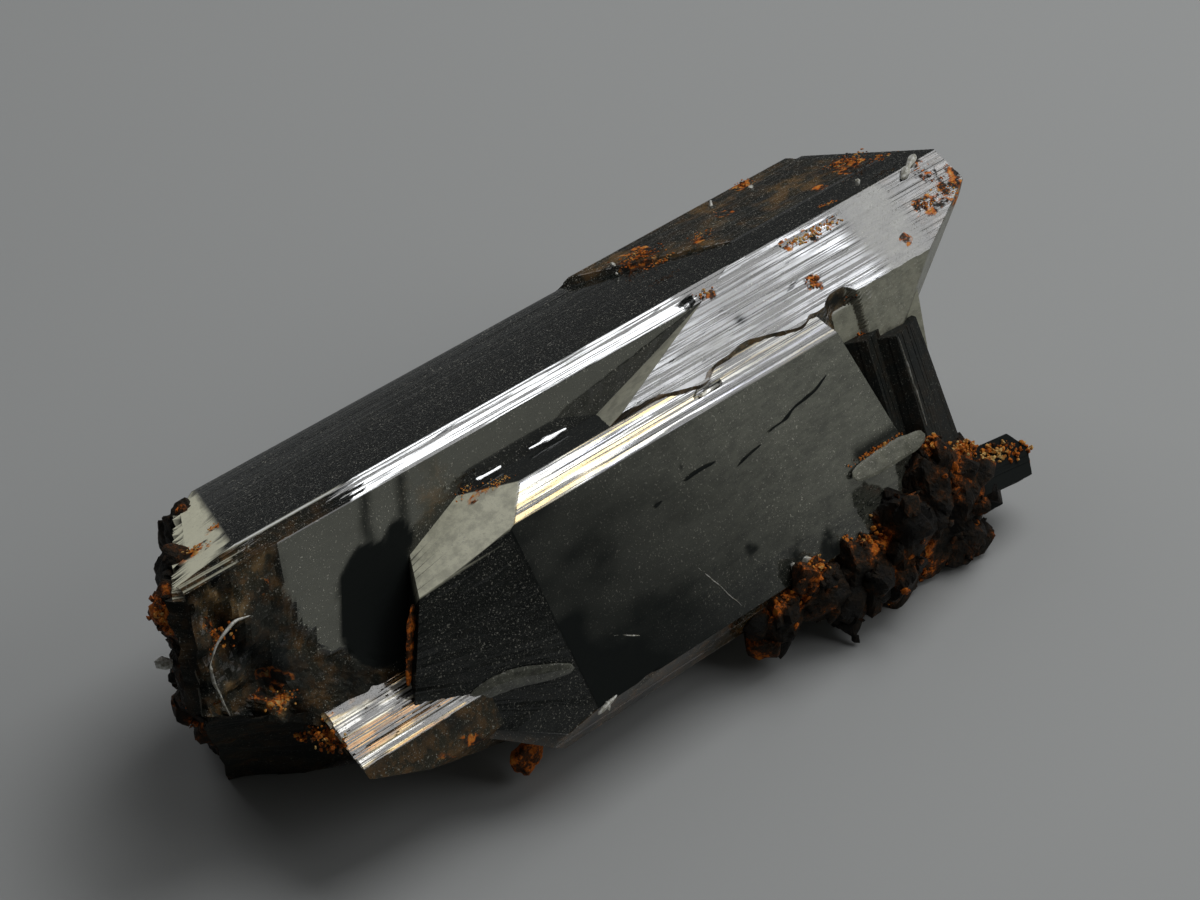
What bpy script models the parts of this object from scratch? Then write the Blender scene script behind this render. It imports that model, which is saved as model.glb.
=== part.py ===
"""Aegirine crystal group lying on its side, with rusty matrix still fixed at both ends.

Every dimension is in millimetres in the crystals' own frame.  X runs along the
prisms, from the broken base to the tips, Y points to the back and Z up.  The
origin lies on the ridge between the dark back top face and the bright front top
face.  A prism face is named by the angle of its outward normal: 0 degrees faces
the front, 90 degrees faces up, 180 degrees faces the back.  A face is that angle
and its distance from the origin.
"""
import math
import random

import bmesh
import bpy
from mathutils import Matrix, Vector

MM = 0.001
STOCK = 160.0            # side of the block that every crystal is cut from
BENCH = 24.0             # the surface the group rests on, below the top ridge
CENTRE = (-2.637, -2.271)  # middle of the group along X and Y
GAP = 0.3                # clearance that matrix keeps from crystal
OBJECT_NAME = "aegirine_crystal_group"

# Prism faces of the parallel crystals, 45 degrees apart.
BACK_TOP = 115.0
BRIGHT_TOP = 70.0
FRONT = 25.0
FRONT_UNDER = -20.0
KEEL = -65.0
BACK = 160.0
BACK_UNDER = 205.0
REAR_KEEL = 250.0
REAR_TOP = 112.0         # top of the raised crystal along the back, which leans a little

# Ends of the crystals: outward direction and distance from the origin.
BROKEN_BASE = ((-0.83, 0.55, -0.10), 31.0)
BROKEN_CORNER = ((-0.50, -0.69, -0.53), 26.8)
LONG_TIP = ((0.547, -0.80, -0.40), 22.0)
BACK_TIP = ((0.97, 0.12, -0.20), 33.1)
TIP_SHOULDER = ((0.42, -0.85, -0.10), 17.1)
CHANNEL_END = ((-0.284, 0.513, 0.81), -3.51)
WORN_BEVEL = ((-0.087, 0.452, 0.888), 2.80)

MAIN_FRONT = 1.02        # channel face, the main crystal's front
LOWER_FRONT = 6.01       # big front face
LOWER_TOP = -0.28        # front crystal's bright top, a step under the plateau
LEDGE_TOP = -8.86        # bright ledge of the lowest crystal
LEDGE_FRONT = 4.18
PLATEAU_TOP = 0.06
REAR_RISE = -0.05        # raised crystal along the back


def direction(angle):
    """Outward normal of the prism face at this angle."""
    turn = math.radians(angle)
    return Vector((0.0, -math.cos(turn), math.sin(turn)))


def along_face(angle):
    """Direction across the prism face at this angle, towards the back."""
    turn = math.radians(angle)
    return Vector((0.0, math.sin(turn), math.cos(turn)))


def clip(planes, grow=0.0, centre=(0.0, 0.0, 0.0)):
    """A convex solid: a block with everything outside each plane cut away."""
    bm = bmesh.new()
    bmesh.ops.create_cube(bm, size=STOCK)
    middle = Vector(centre)
    for normal, distance in planes:
        unit = Vector(normal).normalized()
        scale = Vector(normal).length
        reach = distance / scale + grow
        bmesh.ops.bisect_plane(bm, geom=bm.verts[:] + bm.edges[:] + bm.faces[:], dist=1e-6,
                               plane_co=unit * reach, plane_no=unit, clear_outer=True)
        rim = [edge for edge in bm.edges if edge.is_boundary]
        if rim:
            bmesh.ops.edgeloop_fill(bm, edges=rim)
    bmesh.ops.translate(bm, verts=bm.verts, vec=middle)
    bmesh.ops.recalc_face_normals(bm, faces=bm.faces[:])
    bmesh.ops.triangulate(bm, faces=bm.faces[:])
    return bm


def prism(faces, ends):
    """Planes of one crystal from {angle: distance} and its end planes."""
    sides = [(direction(angle), distance) for angle, distance in faces.items()]
    return sides + [(Vector(normal), distance) for normal, distance in ends]


def growth_step(angle, level, rise, low, high, start, stop):
    """Planes of one long step on a prism face, low to high across it."""
    normal, across = direction(angle), along_face(angle)
    half = math.sqrt(0.5)
    depth = 0.7
    return [
        (normal, level + rise),
        (-normal, depth - level),
        (direction(angle + 45.0), half * (level + rise + high)),
        (direction(angle - 45.0), half * (level + rise - low)),
        (Vector((1.0, 0.0, 0.0)) + 0.35 * normal + 0.30 * across, stop),
        (Vector((-1.0, 0.0, 0.0)) + 0.30 * normal - 0.35 * across, -start),
    ]


def main_crystal():
    faces = {BACK_TOP: 0.0, BRIGHT_TOP: 0.0, FRONT: MAIN_FRONT, FRONT_UNDER: 12.5,
             KEEL: 21.5, BACK: 8.8, BACK_UNDER: 17.4, REAR_KEEL: 24.1}
    return prism(faces, [BROKEN_BASE, BROKEN_CORNER, WORN_BEVEL, LONG_TIP, BACK_TIP])


def front_crystal():
    faces = {BACK_TOP: -4.47, BRIGHT_TOP: LOWER_TOP, FRONT: LOWER_FRONT, FRONT_UNDER: 19.4,
             KEEL: 23.9, BACK: 3.0, BACK_UNDER: 9.0}
    ends = [((-0.355, 0.055, 0.933), 2.03), ((-0.283, -0.886, 0.368), 10.42),
            ((-0.861, 0.48, 0.167), 15.11), ((-0.55, -0.35, -0.75), 27.0),
            ((0.93, 0.10, 0.27), 12.9)]
    return prism(faces, ends)


def set_back(plane, step):
    """The same plane moved inwards."""
    return plane[0], plane[1] - step


def plateau_crystal(front, start, stop, step):
    """Upper bright terrace whose front edge stands at this distance."""
    faces = {BACK_TOP: -0.02 - step, BRIGHT_TOP: PLATEAU_TOP - 0.3 * step, FRONT: front,
             FRONT_UNDER: 10.2 - step, BACK: 2.2 - step, KEEL: 13.5 - step}
    ends = [set_back(plane, step + 0.07) for plane in (LONG_TIP, BACK_TIP, TIP_SHOULDER)]
    ends += [set_back(CHANNEL_END, step), ((-0.94, 0.0, 0.34), -start),
             ((0.92, -0.2, -0.34), stop)]
    return prism(faces, ends)


def ledge_crystal():
    faces = {BRIGHT_TOP: LEDGE_TOP, FRONT: LEDGE_FRONT, FRONT_UNDER: 16.7, KEEL: 22.9,
             BACK: -1.0, BACK_UNDER: 6.0}
    ends = [((-0.93, 0.15, -0.33), 31.7), ((-0.33, -0.25, -0.826), 24.7),
            ((0.99, -0.1, 0.0), 3.0)]
    return prism(faces, ends)


def rear_crystal():
    """Raised, rust-speckled crystal along the far side of the back top face."""
    faces = {REAR_TOP: REAR_RISE, BRIGHT_TOP: -2.0, FRONT: -3.7, BACK: 9.0,
             BACK_UNDER: 16.6, REAR_KEEL: 21.0, KEEL: 12.0}
    ends = [((-0.55, -0.40, 0.55), -11.0), ((0.97, 0.14, -0.20), 31.4)]
    return prism(faces, ends)


def end_slab():
    """Crystal seen edge-on at the right end, behind the leaning crystal."""
    faces = {BACK_TOP: -0.6, BRIGHT_TOP: -0.9, FRONT: 4.35, FRONT_UNDER: 15.5, KEEL: 22.4,
             BACK: 3.5, BACK_UNDER: 10.0}
    ends = [((0.98, 0.05, -0.16), 25.2), ((-1.0, 0.0, 0.0), -6.0)]
    return prism(faces, ends)


def leaning_crystal(shift):
    """Small crystal standing up out of the matrix against the right end."""
    planes = [((-0.62, -0.70, 0.33), -8.3), ((0.357, -0.837, 0.415), 12.84),
              ((0.05, 0.30, 0.95), -7.0), ((-0.08, -0.42, -0.90), 17.2),
              ((0.0, 1.0, 0.0), -4.4), ((-1.0, 0.1, 0.2), -16.5), ((1.0, 0.0, 0.114), 23.4)]
    moved = Vector(shift)
    return [(Vector(n), d + Vector(n).dot(moved)) for n, d in planes]


STEP_COUNTS = (
    # face, level, lowest and highest place across it, along X, count, rise, widest
    (BRIGHT_TOP, 0.0, -1.35, -0.10, -26.0, 10.0, 5, 0.16, 0.35),
    (BRIGHT_TOP, PLATEAU_TOP, -4.8, -0.5, 4.0, 26.0, 9, 0.20, 0.6),
    (BRIGHT_TOP, LOWER_TOP, -8.3, -6.4, -13.0, 15.0, 5, 0.16, 0.45),
    (BRIGHT_TOP, LEDGE_TOP, -5.6, -2.2, -29.5, -22.0, 4, 0.22, 0.6),
    (BACK_TOP, 0.0, 1.5, 8.0, -22.0, 8.0, 4, 0.12, 1.6),
    (FRONT, LOWER_FRONT, -15.0, -8.5, -8.0, 10.0, 3, 0.14, 2.2),
    (FRONT, MAIN_FRONT, -7.5, -2.0, -30.0, -26.0, 2, 0.14, 1.5),
    (BACK, 8.8, 9.8, 15.4, -24.0, 4.0, 4, 0.30, 1.2),
    (BACK_UNDER, 17.4, 5.9, 15.8, -25.0, 22.0, 7, 0.40, 1.3),
    (REAR_KEEL, 24.1, 0.1, 2.4, -25.0, 12.0, 2, 0.25, 0.9),
)


def growth_steps():
    """Long steps that striate the prism faces, each group spread evenly."""
    rng = random.Random(11)
    for angle, level, low, high, start, stop, count, rise, widest in STEP_COUNTS:
        pitch = (high - low) / count
        for index in range(count):
            base = low + pitch * (index + 0.15)
            width = min(widest, pitch * rng.uniform(0.35, 0.7))
            length = (stop - start) * rng.uniform(0.35, 0.8)
            first = start + (stop - start - length) * rng.random()
            lift = rise * rng.uniform(0.55, 1.0)
            yield growth_step(angle, level, lift, base, base + width, first, first + length)


def leaning_pair():
    return [leaning_crystal(shift) for shift in ((0.0, 0.0, 0.0), (-2.5, 0.7, 0.5))]


def crystals():
    """Planes of every crystal of the group."""
    solids = [main_crystal(), front_crystal(), ledge_crystal(), rear_crystal(), end_slab()]
    terraces = ((4.14, -8.0, 60.0), (4.92, 0.6, 4.6), (4.86, 10.6, 14.4), (4.80, 16.2, 61.0))
    for index, (front, start, stop) in enumerate(terraces):
        solids.append(plateau_crystal(front, start, stop, 0.09 * index))
    return solids + leaning_pair()


def chip(place, size, seed, faces=16):
    """Blocky many-sided solid with this half size along X, Y and Z."""
    rng = random.Random(seed)
    golden = math.pi * (3.0 - math.sqrt(5.0))
    planes = []
    for index in range(faces):
        height = 1.0 - 2.0 * (index + 0.5) / faces
        flat = math.sqrt(1.0 - height * height)
        turn = golden * index + rng.uniform(-0.35, 0.35)
        normal = Vector((flat * math.cos(turn), flat * math.sin(turn), height))
        stretched = Vector([part / reach for part, reach in zip(normal, size)])
        planes.append((stretched, rng.uniform(0.72, 1.0)))
    return clip(planes, centre=place)


BREAKS = (
    # notch at the plateau's front edge, pit in the plateau, chips on the long edges
    ((18.2, -6.9, -2.2), (1.9, 0.5, 0.7), 3),
    ((15.3, -3.6, -0.9), (1.0, 0.45, 0.5), 5),
    ((4.0, -6.9, -2.5), (1.6, 0.35, 0.5), 8),
    ((-9.0, -14.8, -17.3), (2.2, 0.7, 0.8), 12),
    ((3.0, -14.9, -17.2), (1.5, 0.6, 0.7), 17),
    ((7.6, -0.9, -0.3), (0.7, 0.5, 0.4), 21),
    ((-36.5, -2.4, -3.4), (2.4, 1.0, 2.0), 23),
    ((-35.5, -5.0, -8.5), (2.2, 1.4, 2.4), 27),
    ((-33.5, -6.9, -13.0), (2.6, 1.5, 1.8), 31),
    ((-36.0, 3.2, -1.2), (2.2, 1.8, 0.9), 33),
    ((-29.5, 10.8, -6.0), (2.2, 1.4, 1.4), 37),
    ((-22.5, -10.6, -13.2), (3.0, 1.5, 1.3), 41),
    ((24.5, 12.2, -7.5), (3.5, 1.5, 2.2), 45),
    ((-10.0, 13.6, -13.0), (3.8, 1.3, 2.4), 49),
    ((12.0, 9.5, -20.5), (3.4, 2.0, 2.0), 53),
)


def rubble(spots, seed):
    """Blocky lumps of matrix, one many-sided chunk at each spot."""
    rng = random.Random(seed)
    for x, y, z, *size in spots:
        yield chip((x, y, z), size, rng.randrange(10000))


FAR_MATRIX = (
    # centres and half sizes: along the foot of the big front face, then out to the right
    (4.6, -13.6, -20.0, 3.0, 2.6, 2.4), (8.4, -13.9, -19.6, 3.2, 3.0, 3.0),
    (12.4, -14.3, -19.4, 3.4, 3.2, 3.6), (16.2, -14.3, -18.4, 3.4, 3.2, 4.2),
    (19.6, -13.8, -17.4, 3.4, 3.0, 4.4), (22.4, -13.4, -17.9, 3.2, 3.0, 4.0),
    (24.0, -13.6, -19.6, 3.0, 2.6, 3.0), (14.0, -12.4, -21.8, 5.0, 3.2, 3.0),
    (20.4, -13.4, -21.6, 4.6, 3.6, 3.0), (22.6, -13.9, -21.9, 3.4, 3.4, 2.8),
    (18.6, -9.4, -20.4, 5.0, 5.0, 4.2), (23.2, -9.1, -19.3, 3.3, 4.1, 4.1),
    (10.6, -15.2, -20.8, 2.2, 1.8, 1.8), (7.0, -14.6, -17.2, 1.5, 1.4, 1.6),
    (15.2, -15.4, -21.4, 2.4, 1.7, 2.2),
)
BASE_ROWS = 6            # rows of chunks on the broken base, from the top down
BASE_PITCH = 3.2
BASE_TOP = -4.2
STAND_OFF = 0.15         # how far the chunks' centres stand off the broken base


def base_width(z):
    """Where the crust on the broken base starts and ends along Y at this height."""
    front = max(-(MAIN_FRONT - 0.4226 * z) / 0.906, -7.96 - 0.46 * z)
    back = min((8.8 - 0.342 * z) / 0.94, (17.4 + 0.4226 * z) / 0.906)
    under_back_top = -2.146 * (z + 2.7)
    return front + 3.0, min(back - 2.6, under_back_top)


def base_matrix_spots():
    """Centres and half sizes of the chunks that cover the broken base."""
    rng = random.Random(23)
    (ahead, across, up), reach = BROKEN_BASE
    for row in range(BASE_ROWS):
        z = BASE_TOP - BASE_PITCH * row
        front, back = base_width(z)
        count = max(1, round((back - front) / BASE_PITCH) + 1)
        for index in range(count):
            y = front + (back - front) * index / max(1, count - 1) + rng.uniform(-0.2, 0.2)
            x = (across * y + up * z - reach - STAND_OFF) / -ahead
            yield (x, y, z + rng.uniform(-0.3, 0.3), rng.uniform(1.4, 1.9),
                   rng.uniform(2.5, 2.9), rng.uniform(2.4, 2.8))


BLADE_ROOT = (25.0, -13.6, -18.6)
BLADES = (
    # rise of the blade's root, how far it reaches along X, shift to the back
    (0.0, 5.4, 0.0), (-2.3, 3.2, 0.5),
)


def blades():
    """Thin dark crystals of the far matrix that point away to the right."""
    axis = Vector((0.97, -0.05, -0.12)).normalized()
    flat = Vector((0.05, -0.62, 0.78))
    flat = (flat - axis * flat.dot(axis)).normalized()
    side = axis.cross(flat)
    for rise, reach, back in BLADES:
        root = Vector(BLADE_ROOT) + Vector((0.0, back, rise))
        planes = [(flat, 0.9), (-flat, 1.3), (side, 1.9), (-side, 1.7),
                  ((axis + 0.4 * side).normalized(), reach),
                  ((axis - 0.8 * side).normalized(), reach * 0.86), (-axis, 4.5)]
        yield clip(planes, centre=root)


def to_metres(bm):
    """Move a solid from the crystals' frame to the group's and shrink it to metres."""
    place = Matrix.Translation((-CENTRE[0], -CENTRE[1], BENCH))
    bmesh.ops.transform(bm, matrix=Matrix.Scale(MM, 4) @ place, verts=bm.verts)
    return bm


def add_object(name, bm, collection, material=None):
    mesh = bpy.data.meshes.new(name)
    to_metres(bm).to_mesh(mesh)
    bm.free()
    obj = bpy.data.objects.new(name, mesh)
    collection.objects.link(obj)
    if material:
        mesh.materials.append(material)
    return obj


def add_tool(name, bm, collection):
    """A solid that only shapes others: hidden and drawn as wire."""
    obj = add_object(name, bm, collection)
    obj.hide_render = True
    obj.display_type = "WIRE"


def new_collection(name, parent=None):
    collection = bpy.data.collections.new(name)
    (parent or bpy.context.scene.collection).children.link(collection)
    return collection


def combine(target, operation, solids, tools):
    """Join these solids to the target, or cut them from it, in one exact Boolean."""
    group = new_collection(f"{target.name}_{operation.lower()}", tools)
    for index, solid in enumerate(solids):
        add_tool(f"{group.name}_{index:02d}", solid, group)
    step = target.modifiers.new(group.name, "BOOLEAN")
    step.operation = operation
    step.solver = "EXACT"
    step.operand_type = "COLLECTION"
    step.collection = group


def principled(name, colour, roughness, metallic=0.0):
    material = bpy.data.materials.new(name)
    material.use_nodes = True
    shader = material.node_tree.nodes["Principled BSDF"]
    shader.inputs["Base Color"].default_value = (*colour, 1.0)
    shader.inputs["Roughness"].default_value = roughness
    shader.inputs["Metallic"].default_value = metallic
    return material


def bench():
    """Everything below the surface that the group rests on."""
    return clip([((0.0, 0.0, 1.0), -BENCH)])


def build_crystals(parts, tools, material):
    first, *others = crystals()
    group = add_object("aegirine_crystal", clip(first), parts, material)
    combine(group, "UNION", [clip(planes) for planes in others + list(growth_steps())], tools)
    breaks = [chip(place, size, seed) for place, size, seed in BREAKS]
    combine(group, "DIFFERENCE", breaks + [bench()], tools)


def build_matrix(name, lumps, neighbours, parts, tools, material):
    """Chunks joined in one lump, cut back to stand clear of the crystals they touch."""
    first, *others = lumps
    matrix = add_object(name, first, parts, material)
    combine(matrix, "UNION", others, tools)
    clearances = [clip(planes, grow=GAP) for planes in neighbours]
    combine(matrix, "DIFFERENCE", clearances + [bench()], tools)


def main():
    for obj in list(bpy.data.objects):
        bpy.data.objects.remove(obj, do_unlink=True)
    parts = new_collection(OBJECT_NAME)
    tools = new_collection(OBJECT_NAME + "_tools")
    crystal = principled("aegirine", (0.012, 0.014, 0.012), 0.12)
    rust = principled("rusty_matrix", (0.10, 0.040, 0.015), 0.75)

    build_crystals(parts, tools, crystal)
    far_lumps = list(rubble(FAR_MATRIX, 5)) + list(blades())
    far_neighbours = [main_crystal(), front_crystal(), end_slab()] + leaning_pair()
    build_matrix("matrix_far_end", far_lumps, far_neighbours, parts, tools, rust)
    base_lumps = list(rubble(base_matrix_spots(), 9))
    build_matrix("matrix_broken_end", base_lumps, [main_crystal()], parts, tools, rust)


main()
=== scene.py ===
"""Looks of an aegirine crystal group with rusty matrix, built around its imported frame.

Shapes are worked out in the crystals' own frame, in millimetres: X runs along the
prisms from the broken base to the tips, Y to the back and Z up, and the origin is
on the ridge between the two top faces.  A prism face is named by the angle of its
outward normal: 0 degrees faces the front, 90 degrees faces up.
"""
import math
import random

import bpy
import numpy as np
from mathutils import Matrix, Vector
from numpy.linalg import norm


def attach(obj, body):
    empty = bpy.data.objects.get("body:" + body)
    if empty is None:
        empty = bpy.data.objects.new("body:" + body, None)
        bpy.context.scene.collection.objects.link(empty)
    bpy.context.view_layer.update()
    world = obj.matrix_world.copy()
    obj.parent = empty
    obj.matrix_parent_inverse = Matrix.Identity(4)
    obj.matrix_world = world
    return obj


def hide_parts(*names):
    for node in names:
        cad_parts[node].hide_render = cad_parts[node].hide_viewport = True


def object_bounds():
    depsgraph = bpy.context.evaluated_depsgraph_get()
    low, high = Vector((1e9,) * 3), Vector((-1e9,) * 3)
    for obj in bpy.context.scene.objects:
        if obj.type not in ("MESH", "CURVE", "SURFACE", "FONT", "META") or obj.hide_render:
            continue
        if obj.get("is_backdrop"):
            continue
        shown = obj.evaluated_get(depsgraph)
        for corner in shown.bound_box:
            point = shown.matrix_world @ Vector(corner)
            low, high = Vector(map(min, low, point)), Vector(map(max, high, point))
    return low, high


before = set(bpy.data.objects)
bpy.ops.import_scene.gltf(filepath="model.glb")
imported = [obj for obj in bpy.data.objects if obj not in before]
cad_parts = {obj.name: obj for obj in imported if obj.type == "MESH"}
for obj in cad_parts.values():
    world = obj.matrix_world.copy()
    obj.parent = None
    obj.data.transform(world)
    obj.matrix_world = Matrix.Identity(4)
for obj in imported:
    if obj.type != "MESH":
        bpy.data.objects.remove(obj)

cad_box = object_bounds()

MM = 0.001
FRAME_SHIFT = np.array([2.637, 2.271, 24.0])   # crystals' frame to the row frame
BENCH = -24.0                                  # the surface the group rests on

BACK_TOP, BRIGHT_TOP, FRONT, FRONT_UNDER = 115.0, 70.0, 25.0, -20.0
KEEL, BACK, BACK_UNDER, REAR_KEEL = -65.0, 160.0, 205.0, 250.0
REAR_TOP = 112.0                               # the rear crystal's top leans a little

BROKEN_BASE = ((-0.83, 0.55, -0.10), 31.0)     # an end plane: outward normal, distance
BROKEN_CORNER = ((-0.50, -0.69, -0.53), 26.8)
LONG_TIP = ((0.547, -0.80, -0.40), 22.0)
BACK_TIP = ((0.97, 0.12, -0.20), 33.1)
TIP_SHOULDER = ((0.42, -0.85, -0.10), 17.1)
CHANNEL_END = ((-0.284, 0.513, 0.81), -3.51)
WORN_BEVEL = ((-0.087, 0.452, 0.888), 2.80)


# ---- arithmetic

NOISE_TABLE = np.random.default_rng(5).random(4096)
FULL_TURN = 2 * math.pi
GOLDEN_ANGLE = math.pi * (3.0 - math.sqrt(5.0))


def smooth(value):
    """3v^2 - 2v^3 of the value held between 0 and 1."""
    held = np.clip(value, 0.0, 1.0)
    return held * held * (3.0 - 2.0 * held)


def lattice(points, size, seed=0):
    """Noise, -1 to 1: random numbers on a lattice of this size, blended by a smooth step in each cell."""
    place = points / size + 17.31 * seed
    cell = np.floor(place).astype(np.int64)
    part = smooth(place - cell)
    total = np.zeros(points.shape[:-1])
    for corner in np.ndindex(2, 2, 2):
        x, y, z = np.moveaxis(cell + np.array(corner), -1, 0)
        key = (x * 73856093 ^ y * 19349663 ^ z * 83492791) % len(NOISE_TABLE)
        weight = np.prod(np.where(corner, part, 1.0 - part), axis=-1)
        total += NOISE_TABLE[key] * weight
    return 2.0 * total - 1.0


def layered(points, size, seed=0, layers=3):
    """Lattice noise plus half of it at half the size, and so on."""
    return sum(lattice(points, size / 2 ** k, seed + k) / 2 ** k for k in range(layers))


def patchy(points, size, seed, middle=0.5, amount=0.9, along_x=1.0, layers=3):
    """Smooth step of middle + amount times layered noise, whose X is shrunk by along_x first."""
    return smooth(middle + amount * layered(points * (along_x, 1.0, 1.0), size, seed, layers))


def near(points, spots, rag=0.30):
    """1 at the centre of any spot (x, y, z, radius), falling smoothly to 0 at its ragged rim."""
    peak = np.zeros(points.shape[:-1])
    ragged = rag * layered(points, 0.8, 77)
    for x, y, z, radius in spots:
        away = norm(points - np.array((x, y, z)), axis=-1) / radius
        peak = np.maximum(peak, smooth(1.0 - away - ragged * (away < 1.6)))
    return peak


def along(points, line, width):
    """1 on a line through these places, falling smoothly to 0 at this width from it."""
    line = np.array(line, float)
    least = np.full(points.shape[:-1], np.inf)
    for a, b in zip(line[:-1], line[1:]):
        share = np.clip((points - a) @ (b - a) / ((b - a) @ (b - a)), 0.0, 1.0)
        least = np.minimum(least, norm(points - a - share[..., None] * (b - a), axis=-1))
    return smooth(1.0 - least / width)


def on_path(path, share):
    """Places on a path: a whole share is one of its points, a fraction lies between two."""
    return np.stack([np.interp(share, np.arange(len(path)), path[:, k]) for k in range(3)], -1)


def round_turn(count):
    """Even angles of one whole turn."""
    return np.linspace(0.0, FULL_TURN, count, endpoint=False)


def unit(vector):
    """The vector over its length."""
    vector = np.array(vector, float)
    return vector / norm(vector)


def most(*parts):
    """The greatest of these grids at each point."""
    return np.maximum.reduce(parts)


def every_point(grids):
    """The points of all grids in one list."""
    return np.concatenate([grid.reshape(-1, 3) for grid in grids])


# ---- meshes

WELD = 2e-5   # corners closer than this are one


def grid_triangles(rows, cols):
    """Two triangles for each cell of a grid that closes round on itself from its last column."""
    index = np.arange(rows * cols).reshape(rows, cols)
    a, b = index[:-1], np.roll(index, -1, axis=1)[:-1]
    c, d = np.roll(index, -1, axis=1)[1:], index[1:]
    return np.concatenate([np.stack(corners, -1).reshape(-1, 3) for corners in ((a, b, c), (a, c, d))])


def weld(points, triangles):
    """Joins corners that share a place and leaves out triangles that have shrunk to a line."""
    places = np.round(points / WELD).astype(np.int64)
    _, first, same = np.unique(places, axis=0, return_index=True, return_inverse=True)
    a, b, c = joined = same.reshape(-1)[triangles].T
    return first, joined.T[(a != b) & (b != c) & (c != a)]


def build_mesh(name, surfaces):
    """One mesh from closed grids, each given as (points, {mask name: values}).  A grid whose sum of
    a . (b x c) over its triangles is below 0 faces inwards and is turned round."""
    all_points, all_triangles, masks_found, offset = [], [], {}, 0
    for grid, values in surfaces:
        rows, cols = grid.shape[:2]
        points = grid.reshape(-1, 3).copy()
        points[:, 2] = np.maximum(points[:, 2], BENCH)
        first, triangles = weld(points, grid_triangles(rows, cols))
        points = points[first]
        a, b, c = ((points - points.mean(0))[triangles[:, k]] for k in range(3))
        if np.einsum("ij,ij->i", a, np.cross(b, c)).sum() < 0.0:
            triangles = triangles[:, ::-1]
        all_points.append(points)
        all_triangles.append(triangles + offset)
        for key, value in values.items():
            spread = np.broadcast_to(value, (rows, cols)).reshape(-1)[first]
            masks_found.setdefault(key, []).append(spread)
        offset += len(points)
    points = (np.concatenate(all_points) + FRAME_SHIFT) * MM
    triangles = np.concatenate(all_triangles)
    mesh = bpy.data.meshes.new(name)
    mesh.vertices.add(len(points))
    mesh.vertices.foreach_set("co", points.astype(np.float32).ravel())
    mesh.loops.add(triangles.size)
    mesh.loops.foreach_set("vertex_index", triangles.astype(np.int32).ravel())
    mesh.polygons.add(len(triangles))
    mesh.polygons.foreach_set("loop_start", np.arange(0, triangles.size, 3, dtype=np.int32))
    mesh.update(calc_edges=True)
    mesh.shade_flat()
    for key, value in masks_found.items():
        layer = mesh.attributes.new(key, "FLOAT", "POINT")
        layer.data.foreach_set("value", np.concatenate(value).astype(np.float32))
    print(f"{name}: {len(triangles)} triangles")
    return mesh


def add_piece(name, surfaces, material, slot, node):
    """Puts a mesh in the scene as a piece that stands for this CAD node."""
    mesh = build_mesh(name, surfaces)
    mesh.materials.append(material)
    piece = bpy.data.objects.new(name, mesh)
    bpy.context.scene.collection.objects.link(piece)
    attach(piece, "root")
    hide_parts(node)


# ---- prisms

FINISH = {
    # face: width of its growth strips, how far they step, how far they tilt in degrees
    BACK_TOP: (0.22, 0.005, 0.16), BRIGHT_TOP: (0.13, 0.030, 3.2), FRONT: (0.25, 0.005, 0.12),
    REAR_TOP: (0.3, 0.02, 0.8), FRONT_UNDER: (0.9, 0.05, 1.5), KEEL: (1.2, 0.06, 1.5),
    BACK: (0.45, 0.06, 2.0), BACK_UNDER: (0.5, 0.08, 2.5), REAR_KEEL: (0.8, 0.06, 2.0),
}
PLAIN_FINISH = (0.35, 0.02, 1.2)
BEVEL = 0.05
CHANGES = 5            # places along a strip where its height and its tilt change
TINY = 1e-6


def across(angle):
    """Normal of a face and the direction across it, as (y, z) pairs."""
    turn = np.radians(angle)
    normal = np.stack([-np.cos(turn), np.sin(turn)], -1)
    return normal, np.stack([np.sin(turn), np.cos(turn)], -1)


def steady(level):
    """A face's distance as a function of X: a number stays the same, a pair is a start and a slope."""
    if callable(level):
        return level
    base, slope = level if isinstance(level, tuple) else (level, 0.0)
    return lambda x: base + slope * x


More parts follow.
